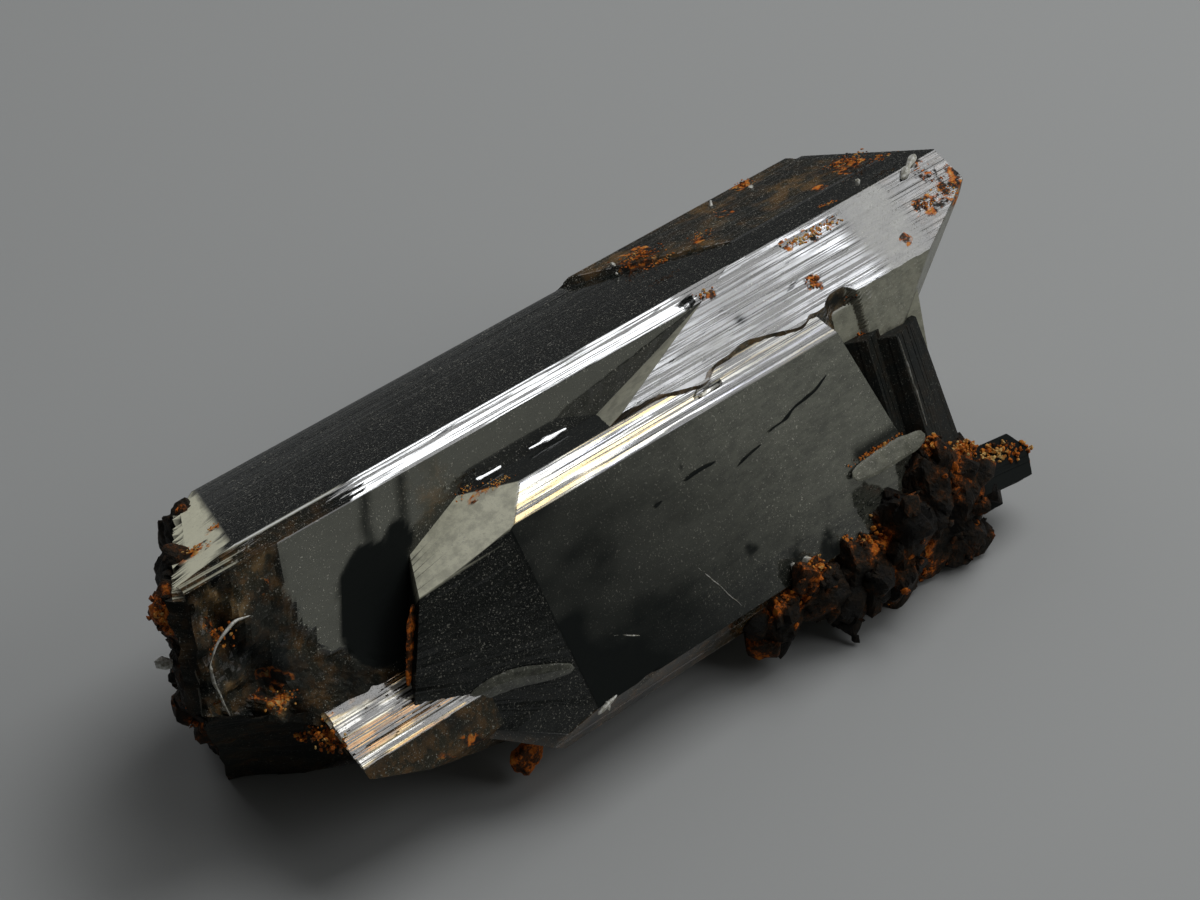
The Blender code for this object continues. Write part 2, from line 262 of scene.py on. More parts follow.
class Prism:
    """A crystal whose side faces run along X, each at its distance from the axis, cut by end planes.

    Its surface is one grid.  A column is a place round the section: a face and a share of the
    way across it.  Rows run from the middle of the start cap over its rim and along the side to
    the middle of the stop cap.  A side face is made of strips that step and tilt, so it glints."""

    def __init__(self, faces, ends, seed, rows, cap_rows=3, finish=FINISH, lean=None, rough=None,
                 chips=(), extent=None, calm=None, worn=None):
        self.rng = np.random.default_rng(seed)
        self.angles = np.array(sorted(faces))
        self.levels = [steady(faces[angle]) for angle in self.angles]
        self.ends = [(unit(normal), float(distance) / norm(normal)) for normal, distance in ends]
        self.rows, self.cap_rows, self.chips, self.extent = rows, cap_rows, chips, extent
        self.lean, self.rough, self.calm, self.worn = lean or {}, rough or {}, calm, worn
        self.finish = np.array([finish.get(angle, PLAIN_FINISH) for angle in self.angles])
        self.lay_columns()

    def level(self, faces, x):
        """Distance of each column's face at these places along the crystal."""
        faces, x = np.broadcast_arrays(faces, x)
        places = [faces == index for index in range(len(self.levels))]
        return np.select(places, [level(x) for level in self.levels])

    def lay_columns(self):
        """Columns round the section: each strip has one at both of its edges."""
        low, high = self.widest()
        face, share, width = [], [], []
        for index, (pitch, *_) in enumerate(self.finish):
            size = max(float(high[index] - low[index]), 4 * BEVEL)
            number = max(1, int(round(size / pitch)))
            cuts = np.concatenate([[0.0], np.cumsum(self.rng.uniform(0.5, 1.6, number))])
            cuts = BEVEL / size + (1.0 - 2.0 * BEVEL / size) * cuts / cuts[-1]
            face.append(np.full(2 * number, index))
            share.append(np.stack([cuts[:-1], cuts[1:]], -1).ravel())
            width.append(np.repeat(np.diff(cuts) * size, 2))
        self.face, self.share, self.width = (np.concatenate(part) for part in (face, share, width))
        self.strip = np.arange(len(self.face)) // 2
        self.side = np.tile((-0.5, 0.5), len(self.face) // 2)
        self.luck = self.rng.random(len(self.face) // 2)

    def widest(self):
        """The span of each face at its widest over the extent, or else at X = 0."""
        every = np.arange(len(self.angles))
        if not self.extent:
            return self.span(every, np.array(0.0))
        low, high = self.span(every, np.linspace(*self.extent, 200)[:, None])
        return low.min(0), high.max(0)

    def span(self, faces, x):
        """Where each face starts and ends across itself: its crossings with the faces beside it."""
        own = self.level(faces, x)
        tangent = across(self.angles)[1]
        found = []
        for step in (-1, 1):
            other = (faces + step) % len(self.angles)
            away = self.level(other, x)
            a, b = np.radians(self.angles[faces]), np.radians(self.angles[other])
            det = np.sin(a - b)
            y = (own * np.sin(b) - away * np.sin(a)) / det
            z = (np.cos(b) * own - np.cos(a) * away) / det
            found.append(y * tangent[faces, 0] + z * tangent[faces, 1])
        return found

    def relief(self, x):
        """Height of each strip along X: level steps at random places, plus the tilt across the strip."""
        strips = len(self.luck)
        _, step, tilt = self.finish[self.face].T
        breaks = self.rng.uniform(x.min(), x.max(), (strips, CHANGES))
        rises = self.rng.uniform(-1.0, 1.0, (strips, CHANGES))
        leans = self.rng.normal(0.0, 0.6, (strips, CHANGES))
        passed = x[..., None] > breaks[self.strip]
        height = self.rng.uniform(-1.0, 0.0, strips)[self.strip] + (passed * rises[self.strip]).sum(-1)
        lean = self.rng.normal(0.0, 1.0, strips)[self.strip] + (passed * leans[self.strip]).sum(-1)
        turn = tilt * np.clip(lean, -2.5, 2.5)
        for angle, extra in self.lean.items():
            turn = turn + np.where(self.angles[self.face] == angle, extra(x, self.luck[self.strip]), 0.0)
        stir = self.calm(x) if self.calm else 1.0
        rise = step * np.clip(height, -2.0, 0.2)
        return stir * (rise + np.tan(np.radians(turn)) * self.side * self.width)

    def section(self, x):
        """(y, z) of every column at these places along X, without relief."""
        normal, tangent = across(self.angles)
        low, high = self.span(self.face, x)
        place = low + (high - low) * self.share
        if self.extent:
            start, stop = (side[self.face] for side in self.widest())
            place = np.clip(start + (stop - start) * self.share, low, high)
        own = self.level(self.face, x)
        return own[..., None] * normal[self.face] + place[..., None] * tangent[self.face]

    def cut(self, yz, stop):
        """X of the end planes at these (y, z), one layer for each plane of that end."""
        return np.stack([(distance - yz @ normal[1:]) / normal[0]
                         for normal, distance in self.ends if (normal[0] > 0) == stop])

    def cap(self, centre, rim, stop):
        """One end as (points, number of the plane there).  Rows are radii: where the end's planes meet
        along each ray from the centre to the rim, with each gap between them split evenly."""
        a, b = self.cut(centre, stop)[:, None], self.cut(rim, stop)
        pick = np.argmin if stop else np.argmax
        crossings = []
        for i in range(len(b)):
            for j in range(i + 1, len(b)):
                slope = (b[i] - a[i]) - (b[j] - a[j])
                r = (a[j] - a[i]) / np.where(np.abs(slope) < 1e-9, 1e-9, slope)
                x = a + (b - a) * r
                best = np.take_along_axis(x, pick(x, axis=0)[None], 0)[0]
                crossings.append(np.where((np.abs(x[i] - best) < TINY) & (r > 0) & (r < 1), r, 1.0))
        columns = b.shape[1]
        radii = np.sort(np.stack([np.zeros(columns), *crossings, np.ones(columns)]), axis=0)
        share = np.arange(self.cap_rows)[:, None] / self.cap_rows
        rows = (radii[:-1, None] + (radii[1:] - radii[:-1])[:, None] * share).reshape(-1, columns)
        rows = np.concatenate([rows, radii[-1:]])
        x = a[:, None] + (b - a)[:, None] * rows
        plane = pick(x, axis=0)
        x = np.take_along_axis(x, plane[None], 0)[0]
        yz = centre + rows[..., None] * (rim - centre)
        numbers = np.array([k for k, (normal, _) in enumerate(self.ends) if (normal[0] > 0) == stop])
        return np.concatenate([x[..., None], yz], -1), numbers[plane]

    def reach(self, stop):
        """X where each column starts or stops; three passes, because the section changes with X."""
        x = np.zeros(len(self.face))
        for _ in range(3):
            cuts = self.cut(self.section(x), stop)
            x = cuts.min(0) if stop else cuts.max(0)
        return x

    def surface(self):
        """(points, face, luck of the strip) over the grid.  A face is the angle of a side face, or -1,
        -2 and so on for the end planes in their order."""
        start = self.reach(False)
        stop = np.maximum(self.reach(True), start)
        trim = np.minimum(BEVEL, 0.4 * (stop - start))
        x = start + trim + (stop - start - 2 * trim) * np.linspace(0.0, 1.0, self.rows)[:, None]
        outward = across(self.angles)[0][self.face]
        yz = self.section(x) + self.relief(x)[..., None] * outward
        side = np.concatenate([x[..., None], yz], -1)
        sideways = np.concatenate([np.zeros((len(outward), 1)), outward], -1)
        blocks = [(side, np.broadcast_to(self.angles[self.face], x.shape),
                   np.broadcast_to(sideways, side.shape))]
        end_normals = np.stack([normal for normal, _ in self.ends])
        for row, stop_end in ((0, False), (-1, True)):
            rim = yz[row]
            middle = rim.mean(0)
            away = norm(rim - middle, axis=-1, keepdims=True)
            points, plane = self.cap(middle, rim - BEVEL * (rim - middle) / away, stop_end)
            normals = end_normals[plane]
            depth = sum(np.where(plane == k, size * ledges(points, k), 0.0)
                        for k, size in self.rough.items())
            points = points - normals * np.broadcast_to(depth, plane.shape)[..., None]
            block = (points, -1.0 - plane, normals)
            blocks = blocks + [tuple(v[::-1] for v in block)] if stop_end else [block] + blocks
        points, face, normals = (np.concatenate([block[k] for block in blocks]) for k in range(3))
        points = carve(points, normals, self.chips)
        if self.worn:
            points = points - normals * self.worn(points, face)[..., None]
        return points, face, np.broadcast_to(self.luck[self.strip], face.shape)


def ledges(points, seed):
    """Depth of a fractured face, 0 to 1: noise cut into level ledges, roughened by finer noise."""
    broad = 0.5 + 0.5 * layered(points, 5.0, 40 + seed)
    steps = np.floor(broad * 6.0) / 6.0
    return np.clip(0.75 * steps + 0.2 * broad + 0.10 * layered(points, 0.9, 50 + seed), 0.0, 1.0)


def carve(points, normals, chips):
    """Moves the points inside each chip against their normals to its far side, though by no more
    than 3 mm or 1.6 times their distance from its edge."""
    for cuts, reach in chips:
        inside = ((points @ cuts.T) < reach).all(-1)
        p, n = points[inside], normals[inside]
        along_cut = -(n @ cuts.T)
        room = reach - p @ cuts.T
        depth = np.where(along_cut > TINY, room / np.maximum(along_cut, TINY), np.inf).min(-1)
        edge = (room / norm(cuts, axis=1)).min(-1)
        points[inside] = p - n * np.minimum(depth, np.minimum(1.6 * edge, 3.0))[:, None]
    return points


def golden(count, stray):
    """Directions over a ball: even heights, each turned by the golden angle and this stray."""
    height = 1.0 - 2.0 * (np.arange(count) + 0.5) / count
    turn = GOLDEN_ANGLE * np.arange(count) + stray
    flat = np.sqrt(1.0 - height ** 2)
    return np.stack([flat * np.cos(turn), flat * np.sin(turn), height * np.ones_like(turn)], -1)


def chunk_cuts(seed, count=16):
    """Normals and distances of a lump's flat cuts on a unit ball."""
    rng = random.Random(seed)
    draws = np.array([(rng.uniform(-0.35, 0.35), rng.uniform(0.72, 1.0)) for _ in range(count)])
    return golden(count, draws[:, 0]), draws[:, 1]


BREAKS = (
    # chips out of the crystals: centre, half size, seed
    ((18.2, -6.9, -2.2), (1.9, 0.5, 0.7), 3), ((15.3, -3.6, -0.9), (1.0, 0.45, 0.5), 5),
    ((4.0, -6.9, -2.5), (1.6, 0.35, 0.5), 8), ((-9.0, -14.8, -17.3), (2.2, 0.7, 0.8), 12),
    ((3.0, -14.9, -17.2), (1.5, 0.6, 0.7), 17), ((7.6, -0.9, -0.3), (0.7, 0.5, 0.4), 21),
    ((-36.0, 3.2, -1.2), (2.2, 1.8, 0.9), 33), ((-29.5, 10.8, -6.0), (2.2, 1.4, 1.4), 37),
    ((24.5, 12.2, -7.5), (3.5, 1.5, 2.2), 45), ((-10.0, 13.6, -13.0), (3.8, 1.3, 2.4), 49),
    ((12.0, 9.5, -20.5), (3.4, 2.0, 2.0), 53),
)


def chip_cuts():
    """Each chip as the normals and distances of its flat cuts in the crystals' frame."""
    for centre, size, seed in BREAKS:
        cuts, reach = chunk_cuts(seed)
        cuts = cuts / np.array(size)
        yield cuts, reach + cuts @ np.array(centre)


# ---- crystals

CHIPS = list(chip_cuts())
BAND_START = -24.3   # X where the bright band starts
GREY_EDGE = ((-12.0, -24.0), (-10.0, -26.5), (-8.0, -29.0), (-5.2, -30.5), (-0.8, -30.0))   # z, x


def dull_start(x, luck):
    """The bright band's strips face the front, not up, left of their ragged start."""
    return np.where(x < BAND_START + 2.6 * luck, -17.0, 0.0)


def mottled_end(points, face):
    """1 on the channel face left of its smooth grey part, whose edge runs through GREY_EDGE."""
    heights, edge = np.array(GREY_EDGE).T
    lead = np.interp(points[..., 2], heights, edge) - points[..., 0]
    return (face == FRONT) * smooth(0.5 + (lead + 0.8 * layered(points, 2.0, 31)) / 1.3)


def weathered(points, face):
    """Depth worn off the mottled end: lumps by noise, deeper towards the broken base."""
    lumps = patchy(points, 1.7, 35, amount=0.55, layers=4)
    deeper = 0.30 + 1.1 * smooth((-33.8 - 0.25 * points[..., 2] - points[..., 0]) / 2.0)
    return mottled_end(points, face) * lumps * deeper


PLATEAU_EDGE = (
    # X, and the plateau's front distance there
    (-20.0, 4.10), (-2.0, 4.12), (0.4, 4.20), (1.0, 4.42), (3.7, 4.90), (4.5, 4.86), (4.7, 4.45),
    (8.0, 4.14), (9.5, 4.16), (11.1, 4.48), (13.4, 4.90), (14.2, 4.80), (14.6, 4.62), (16.2, 4.66),
    (17.0, 4.20), (19.0, 4.22), (19.3, 4.78), (27.0, 4.84), (60.0, 4.8),
)


def plateau_front(x):
    """Ragged front edge: straight runs between the points of PLATEAU_EDGE with fine noise."""
    places, reach = np.array(PLATEAU_EDGE).T
    ragged = lattice(np.stack([x, 0 * x, 0 * x], -1), 0.7, 3)
    return np.interp(x, places, reach) + 0.05 * ragged


def smooth_facet(x):
    """1 along X where the plateau is smooth, near its tip."""
    return smooth((x - 22.4) / 1.2) * smooth((28.2 - x) / 1.2)


def stir(x):
    """How much of the plateau's relief is left along X."""
    return 1.0 - 0.9 * smooth_facet(x)


SET_BACK = 0.07   # of the plateau's tip from the main crystal's
CRYSTALS = (
    # name, distance of each side face, end planes, settings
    ("main_crystal",
     {BACK_TOP: 0.0, BRIGHT_TOP: 0.0, FRONT: 1.02, FRONT_UNDER: 12.5, KEEL: 21.5, BACK: 8.8,
      BACK_UNDER: 17.4, REAR_KEEL: 24.1},
     (BROKEN_BASE, BROKEN_CORNER, WORN_BEVEL, LONG_TIP, BACK_TIP),
     dict(seed=1, rows=190, lean={BRIGHT_TOP: dull_start}, rough={0: 1.2, 1: 1.5, 2: 0.20}, worn=weathered)),
    ("front_crystal",
     {BACK_TOP: -4.47, BRIGHT_TOP: -0.16, FRONT: 6.01, FRONT_UNDER: 19.4, KEEL: 23.9, BACK: 3.0,
      BACK_UNDER: 9.0},
     (((-0.355, 0.055, 0.933), 2.03), ((-0.283, -0.886, 0.368), 10.42), ((-0.861, 0.48, 0.167), 15.11),
      ((-0.55, -0.35, -0.75), 28.3), ((0.93, 0.10, 0.27), 12.9)),
     dict(seed=2, rows=160, rough={1: 0.10, 3: 0.3})),
    ("plateau_crystal",
     {BACK_TOP: -0.02, BRIGHT_TOP: 0.03, FRONT: plateau_front, FRONT_UNDER: 10.2, BACK: 2.2, KEEL: 13.5},
     (*((normal, reach - SET_BACK) for normal, reach in (LONG_TIP, BACK_TIP, TIP_SHOULDER)),
      CHANNEL_END, ((-0.94, 0.0, 0.34), 8.0)),
     dict(seed=3, rows=230, rough={3: 0.12}, extent=(-8.0, 36.0), calm=stir)),
    ("rear_crystal",
     {REAR_TOP: -0.05, FRONT: -3.7, BACK: 9.0, BACK_UNDER: 16.6, REAR_KEEL: 21.0, KEEL: 12.0},
     (((-0.55, -0.40, 0.55), -11.0), ((0.97, 0.14, -0.20), 31.4)),
     dict(seed=5, rows=110)),
    ("ledge_crystal",
     {BRIGHT_TOP: -8.86, FRONT: 4.18, FRONT_UNDER: 16.7, KEEL: 22.9, BACK: -1.0, BACK_UNDER: 6.0},
     (((-0.93, 0.15, -0.33), 31.7), ((-0.33, -0.25, -0.826), 24.7), ((0.99, -0.1, 0.0), 3.0)),
     dict(seed=4, rows=130, finish={**FINISH, BRIGHT_TOP: (0.09, 0.05, 6.0)}, rough={0: 0.7, 1: 0.4})),
)
END_SLAB = {BACK_TOP: -0.6, BRIGHT_TOP: -0.9, FRONT: 4.35, FRONT_UNDER: 15.5, KEEL: 22.4, BACK: 3.5,
            BACK_UNDER: 10.0}
SLAB_ENDS = (((0.98, 0.05, -0.16), 25.2), ((-1.0, 0.0, 0.0), -6.0))


def turned(planes, place, axis, up, seed, rows):
    """A prism whose axis points any way: planes nearly along it are side faces, the others ends."""
    axis = np.array(axis) / norm(axis)
    side = np.cross(up, axis)
    side /= norm(side)
    turn = np.stack([axis, side, np.cross(axis, side)])
    faces, ends = {}, []
    for normal, distance in planes:
        normal = np.array(normal, float)
        reach = distance - normal @ place
        local = turn @ normal
        flat = math.hypot(local[1], local[2])
        if abs(local[0]) < 0.5 * flat:
            angle = math.degrees(math.atan2(local[2], -local[1])) % 360.0
            faces[angle] = (reach / flat, -local[0] / flat)
        else:
            ends.append((local, reach))
    points, angle, luck = Prism(faces, ends, seed, rows, cap_rows=2, finish={}).surface()
    return np.array(place) + points @ turn, angle, luck


LEANING = (((-0.62, -0.70, 0.33), -8.3), ((0.357, -0.837, 0.415), 12.84), ((0.05, 0.30, 0.95), -7.0),
           ((-0.08, -0.42, -0.90), 17.2), ((0.0, 1.0, 0.0), -4.4), ((-1.0, 0.1, 0.2), -16.5),
           ((1.0, 0.0, 0.114), 23.4))
LEANING_ROOT = (20.5, -9.5, -12.0)
LEANING_SHIFTS = ((0.0, 0.0, 0.0), (-2.5, 0.7, 0.5))
BLADE_ROOT = (25.0, -13.6, -18.6)
BLADES = ((0.0, 5.4, 0.0), (-2.3, 3.2, 0.5))   # rise of the root, reach along X, shift to the back


def leaning_crystals():
    """Two like crystals that lean on the front one."""
    for shift in LEANING_SHIFTS:
        moved = [(n, d + np.dot(n, shift)) for n, d in LEANING]
        place = np.array(LEANING_ROOT) + shift
        yield turned(moved, place, (0.0, 0.42, 0.907), (1.0, 0.0, 0.0), seed=7, rows=30)


def blades():
    """Thin crystals of the far matrix that point away along X."""
    axis = unit((0.97, -0.05, -0.12))
    flat = np.array((0.05, -0.62, 0.78))
    flat = unit(flat - axis * (flat @ axis))
    side = np.cross(axis, flat)
    for rise, reach, back in BLADES:
        root = np.array(BLADE_ROOT) + (0.0, back, rise)
        planes = [(flat, 0.9), (-flat, 1.3), (side, 1.9), (-side, 1.7), (unit(axis + 0.4 * side), reach),
                  (unit(axis - 0.8 * side), 0.86 * reach), (-axis, 4.5)]
        yield turned([(n, d + n @ root) for n, d in planes], root, axis, flat, seed=9, rows=40)


MASKS = ("silver", "gold", "rust", "pale", "brown", "haze", "dark", "matte")


def masks(surface, **more):
    """The grid of a surface with its painting masks: 0 everywhere unless given."""
    points, _, luck = surface
    return points, {**dict.fromkeys(MASKS, 0.0), "luck": luck, **more}


def ragged_band(surface, face, start, stop, rag):
    """1 on this face between two places along X, each strip with its own ragged start and stop."""
    points, faces, luck = surface
    x = points[..., 0]
    other = (luck * 7.31) % 1.0
    return ((faces == face) & (x > start + rag * luck) & (x < stop - rag * other)).astype(float)


# ---- lumps and crumbs


def directions(rows, cols):
    """Unit vectors over a ball: rows from pole to pole, columns round it."""
    down, turn = np.linspace(0.0, math.pi, rows)[:, None], round_turn(cols)[None]
    return np.stack([np.sin(down) * np.cos(turn), np.sin(down) * np.sin(turn),
                     np.cos(down) * np.ones_like(turn)], -1)


def turns(count, rng):
    """Random rotations, one for each lump, from the QR factors of random matrices."""
    q, r = np.linalg.qr(rng.normal(size=(count, 3, 3)))
    q *= np.sign(np.einsum("nii->ni", r))[:, None]
    q[:, :, 0] *= np.sign(np.linalg.det(q))[:, None]
    return q


def nearest_cut(way, cuts, reach):
    """Distance each way from a lump's middle to the nearest of its flat cuts."""
    facing = np.maximum(np.einsum("rcx,kx->krc", way, cuts), 0.02)
    return (reach[:, None, None] / facing).min(0)


def chunks(spots, seeds, rows, cols, rough, facets=16):
    """Blocky lumps: each way a lump reaches the nearest of its flat cuts and flat shaves, stretched by
    its size, then worn by noise."""
    way = directions(rows, cols)
    for (x, y, z, *size), seed in zip(spots, seeds):
        radius = nearest_cut(way, *chunk_cuts(seed))
        rng = np.random.default_rng(seed)
        shaves = rng.normal(size=(facets, 3))
        shaves /= norm(shaves, axis=1, keepdims=True)
        radius = np.minimum(radius, nearest_cut(way, shaves, rng.uniform(0.66, 1.0, facets)))
        points = np.array((x, y, z)) + way * radius[..., None] * np.array(size)
        wear = np.clip(layered(points, 0.9, seed % 97), 0.0, 1.0) + 0.3 * layered(points, 0.35, seed % 89)
        yield points - way * (rough * wear)[..., None]


def crumbs(centres, sizes, seed, rows=4, cols=6, cuts=7, lying_on=None):
    """Small blocky shards, each cut by its own random planes, turned every way or flat on a face."""
    rng = np.random.default_rng(seed)
    count = len(centres)
    way = directions(rows, cols)
    normals = golden(cuts, rng.uniform(-0.5, 0.5, (count, cuts)))
    reach = rng.uniform(0.55, 1.0, (count, cuts))
    facing = np.einsum("rcx,nkx->nkrc", way, normals)
    radius = np.minimum(np.min(reach[:, :, None, None] / np.maximum(facing, 0.05), axis=1), 1.3)
    shape = way * radius[..., None] * np.asarray(sizes)[:, None, None]
    if lying_on is None:
        spin = turns(count, rng)
    else:
        normal, tangent = (np.concatenate([[0.0], part]) for part in across(lying_on))
        angle = rng.uniform(0.0, FULL_TURN, count)
        first = np.cos(angle)[:, None] * (1.0, 0.0, 0.0) + np.sin(angle)[:, None] * tangent
        spin = np.stack([first, np.cross(normal, first), np.broadcast_to(normal, first.shape)], axis=1)
    return np.asarray(centres)[:, None, None] + np.einsum("nrcx,nxy->nrcy", shape, spin)


def toned(grids, tone, spread, seed, lines=()):
    """Rubble with its tone mask: this tone, spread from lump to lump, plus noise and rust round the lines."""
    rng = np.random.default_rng(seed)
    for grid in grids:
        base = tone + spread * rng.normal()
        rust = most(*(along(grid, line, 2.6) for line in lines)) if lines else 0.0
        yield grid, {"tone": np.clip(base + 0.10 * layered(grid, 1.2, 9) + 0.46 * rust, 0.0, 1.0)}


def crust(place, reach_x, reach_across, face, count, size, tone, seed):
    """Crumbs strewn over a patch of a face, thickest at its middle and lying flat."""
    rng = np.random.default_rng(seed)
    tangent = across(face)[1]
    spread = np.clip(rng.normal(0.0, 0.5, (count, 2)), -1.2, 1.2) * (reach_x, reach_across)
    centres = np.array(place) + np.concatenate([spread[:, :1], spread[:, 1:] * tangent], -1)
    sizes = size * rng.uniform(0.35, 1.0, (count, 1)) * rng.uniform(0.6, 1.0, (count, 3)) * (1.0, 0.8, 0.4)
    return toned(crumbs(centres, sizes, seed, lying_on=face), tone, 0.12, seed)


def cord(path, radius, thin=1.0, normal=(0.31, 0.52, 0.79), sides=6, steps=36, uneven=0.0):
    """A bar along a smoothed path, pointed at both ends, thinned along this normal, its girth uneven."""
    path, normal = np.array(path, float), unit(normal)
    line = on_path(path, np.linspace(0.0, len(path) - 1.0, steps))
    for _ in range(8):
        line[1:-1] = (line[:-2] + 2.0 * line[1:-1] + line[2:]) / 4.0
    line = line + 0.05 * np.stack([lattice(line, 0.8, 60 + k) for k in range(3)], -1)
    side = np.cross(np.gradient(line, axis=0), normal)
    side /= norm(side, axis=1, keepdims=True)
    turn = round_turn(sides)[:, None]
    girth = radius * np.sqrt(np.clip(1.0 - np.linspace(-1.0, 1.0, steps) ** 2, 0.0, 1.0)) ** 0.7
    girth = girth * (1.0 + uneven * lattice(line, 0.7, 64))
    ring = np.cos(turn) * side[:, None] + thin * np.sin(turn) * normal
    return line[:, None] + girth[:, None, None] * ring


FAR_MATRIX = (
    # centre and half size of each lump
    (4.6, -13.6, -20.0, 3.0, 2.6, 2.4), (8.4, -13.9, -19.6, 3.2, 3.0, 3.0),
    (12.4, -14.3, -19.4, 3.4, 3.2, 3.6), (16.2, -14.3, -18.4, 3.4, 3.2, 4.2),
    (19.6, -13.8, -17.4, 3.4, 3.0, 4.4), (22.4, -13.4, -17.9, 3.2, 3.0, 4.0),
    (24.0, -13.6, -19.6, 3.0, 2.6, 3.0), (14.0, -12.4, -21.8, 5.0, 3.2, 3.0),
    (20.4, -13.4, -21.6, 4.6, 3.6, 3.0), (22.6, -13.9, -21.9, 3.4, 3.4, 2.8),
    (18.6, -9.4, -20.4, 5.0, 5.0, 4.2), (23.2, -9.1, -19.3, 3.3, 4.1, 4.1),
    (10.6, -15.2, -20.8, 2.2, 1.8, 1.8), (7.0, -14.6, -17.2, 1.5, 1.4, 1.6),
    (15.2, -15.4, -21.4, 2.4, 1.7, 2.2),
)


def base_spots():
    """Centres and half sizes of the chunks that cover the broken base, in rows from the top down."""
    rng = random.Random(23)
    (ahead, over, up), reach = BROKEN_BASE
    for row in range(6):
        z = -4.2 - 3.2 * row
        front = max(-(1.02 - 0.4226 * z) / 0.906, -7.96 - 0.46 * z) + 3.0
        back = min((8.8 - 0.342 * z) / 0.94 - 2.6, (17.4 + 0.4226 * z) / 0.906 - 2.6, -2.146 * (z + 2.7))
        count = max(1, round((back - front) / 3.2) + 1)
        for index in range(count):
            y = front + (back - front) * index / max(1, count - 1) + rng.uniform(-0.2, 0.2)
            x = (over * y + up * z - reach - 0.15) / -ahead
            yield (x + 0.45, y, z + rng.uniform(-0.3, 0.3), rng.uniform(1.4, 1.9),
                   rng.uniform(2.5, 2.9), rng.uniform(2.4, 2.8))


def shards_on(grids, count, least, most, seed):
    """Angular blocks set at random into the surface of lumps."""
    sizes = np.random.default_rng(seed).uniform(least, most, (count, 3))
    return crumbs(scatter_on(grids, count, seed), sizes, seed + 50, rows=10, cols=16, cuts=8)


def scatter_on(grids, count, seed):
    """Random places picked from the points of lumps, clear of the bench."""
    rng = np.random.default_rng(seed)
    points = every_point(grids)
    keep = points[points[:, 2] > BENCH + 0.4]
    return keep[rng.integers(0, len(keep), count)]


def settled(places, grids, reach=2.5):
    """Moves each place onto the nearest point of the lumps, where one is within reach."""
    points = every_point(grids)
    found = []
    for place in places:
        away = norm(points - place, axis=1)
        found.append(points[away.argmin()] if away.min() < reach else place)
    return np.array(found)


# ---- shaders


class Value:
    """A shader socket in arithmetic: each operation adds the Math node that does it."""

    def __init__(self, graph, socket):
        self.graph, self.socket = graph, socket

    def __add__(self, other):
        return self.graph.math("ADD", self, other)

    def __sub__(self, other):
        return self.graph.math("SUBTRACT", self, other)

    def __rsub__(self, other):
        return self.graph.math("SUBTRACT", other, self)

    def __mul__(self, other):
        return self.graph.math("MULTIPLY", self, other)

    __radd__ = __add__
    __rmul__ = __mul__

    def rise(self, low, high):
        """0 below low, 1 above high, a smooth step between; falls where low is above high."""
        return self.graph.node("ShaderNodeMapRange", {"interpolation_type": "SMOOTHSTEP"},
                               {"Value": self, "From Min": low, "From Max": high})


class Graph:
    """The node tree of one material."""

    def __init__(self, name):
        self.material = bpy.data.materials.new(name)
        self.material.use_nodes = True
        self.tree = self.material.node_tree
        self.tree.nodes.clear()

    def node(self, kind, settings=None, inputs=None, output=0):
        """Any node: its settings first, then a value or a link for each named socket."""
        node = self.tree.nodes.new(kind)
        for name, value in (settings or {}).items():
            if name == "stops":
                self.set_stops(node.color_ramp, value)
            else:
                setattr(node, name, value)
        for key, value in (inputs or {}).items():
            if isinstance(value, Value):
                self.tree.links.new(value.socket, node.inputs[key])
            else:
                node.inputs[key].default_value = value
        return Value(self, node.outputs[output]) if node.outputs else None

    @staticmethod
    def set_stops(ramp, stops):
        while len(ramp.elements) < len(stops):
            ramp.elements.new(0.5)
        for element, (place, colour) in zip(ramp.elements, stops):
            element.position = place
            element.color = (*colour, 1.0)

    def math(self, operation, a, b):
        return self.node("ShaderNodeMath", {"operation": operation}, {0: a, 1: b})

    def most(self, a, b):
        return self.math("MAXIMUM", a, b)

    def mask(self, name):
        """A painting mask of the piece, stored at its corners."""
        return self.node("ShaderNodeAttribute", {"attribute_name": name}, output=2)

    def place(self, along_x=1.0):
        """Object coordinates in millimetres, with X shrunk by this much."""
        where = self.node("ShaderNodeTexCoord", output=3)
        size = (along_x / MM, 1.0 / MM, 1.0 / MM)
        return self.node("ShaderNodeMapping", {}, {"Vector": where, "Scale": size})

    def noise(self, where, scale, detail=2.0, rough=0.55):
        return self.node("ShaderNodeTexNoise", {},
                         {"Vector": where, "Scale": scale, "Detail": detail, "Roughness": rough})

    def mix(self, a, b, share):
        """Colour a turning into colour b as share goes from 0 to 1."""
        a, b = (colour if isinstance(colour, Value) else (*colour, 1.0) for colour in (a, b))
        return self.node("ShaderNodeMix", {"data_type": "RGBA"}, {0: share, 6: a, 7: b}, output=2)

    def ramp(self, share, stops):
        return self.node("ShaderNodeValToRGB", {"stops": stops}, {"Fac": share})

    def bump(self, height, distance):
        return self.node("ShaderNodeBump", {}, {"Height": height, "Distance": distance, "Strength": 1.0})

    def principled(self, colour, roughness, normal=None, **more):
        sockets = {"Base Color": colour, "Roughness": roughness}
        if normal:
            sockets["Normal"] = normal
        return self.node("ShaderNodeBsdfPrincipled", {}, {**sockets, **more})

    def finish(self, surface):
        self.node("ShaderNodeOutputMaterial", {}, {"Surface": surface})
        return self.material


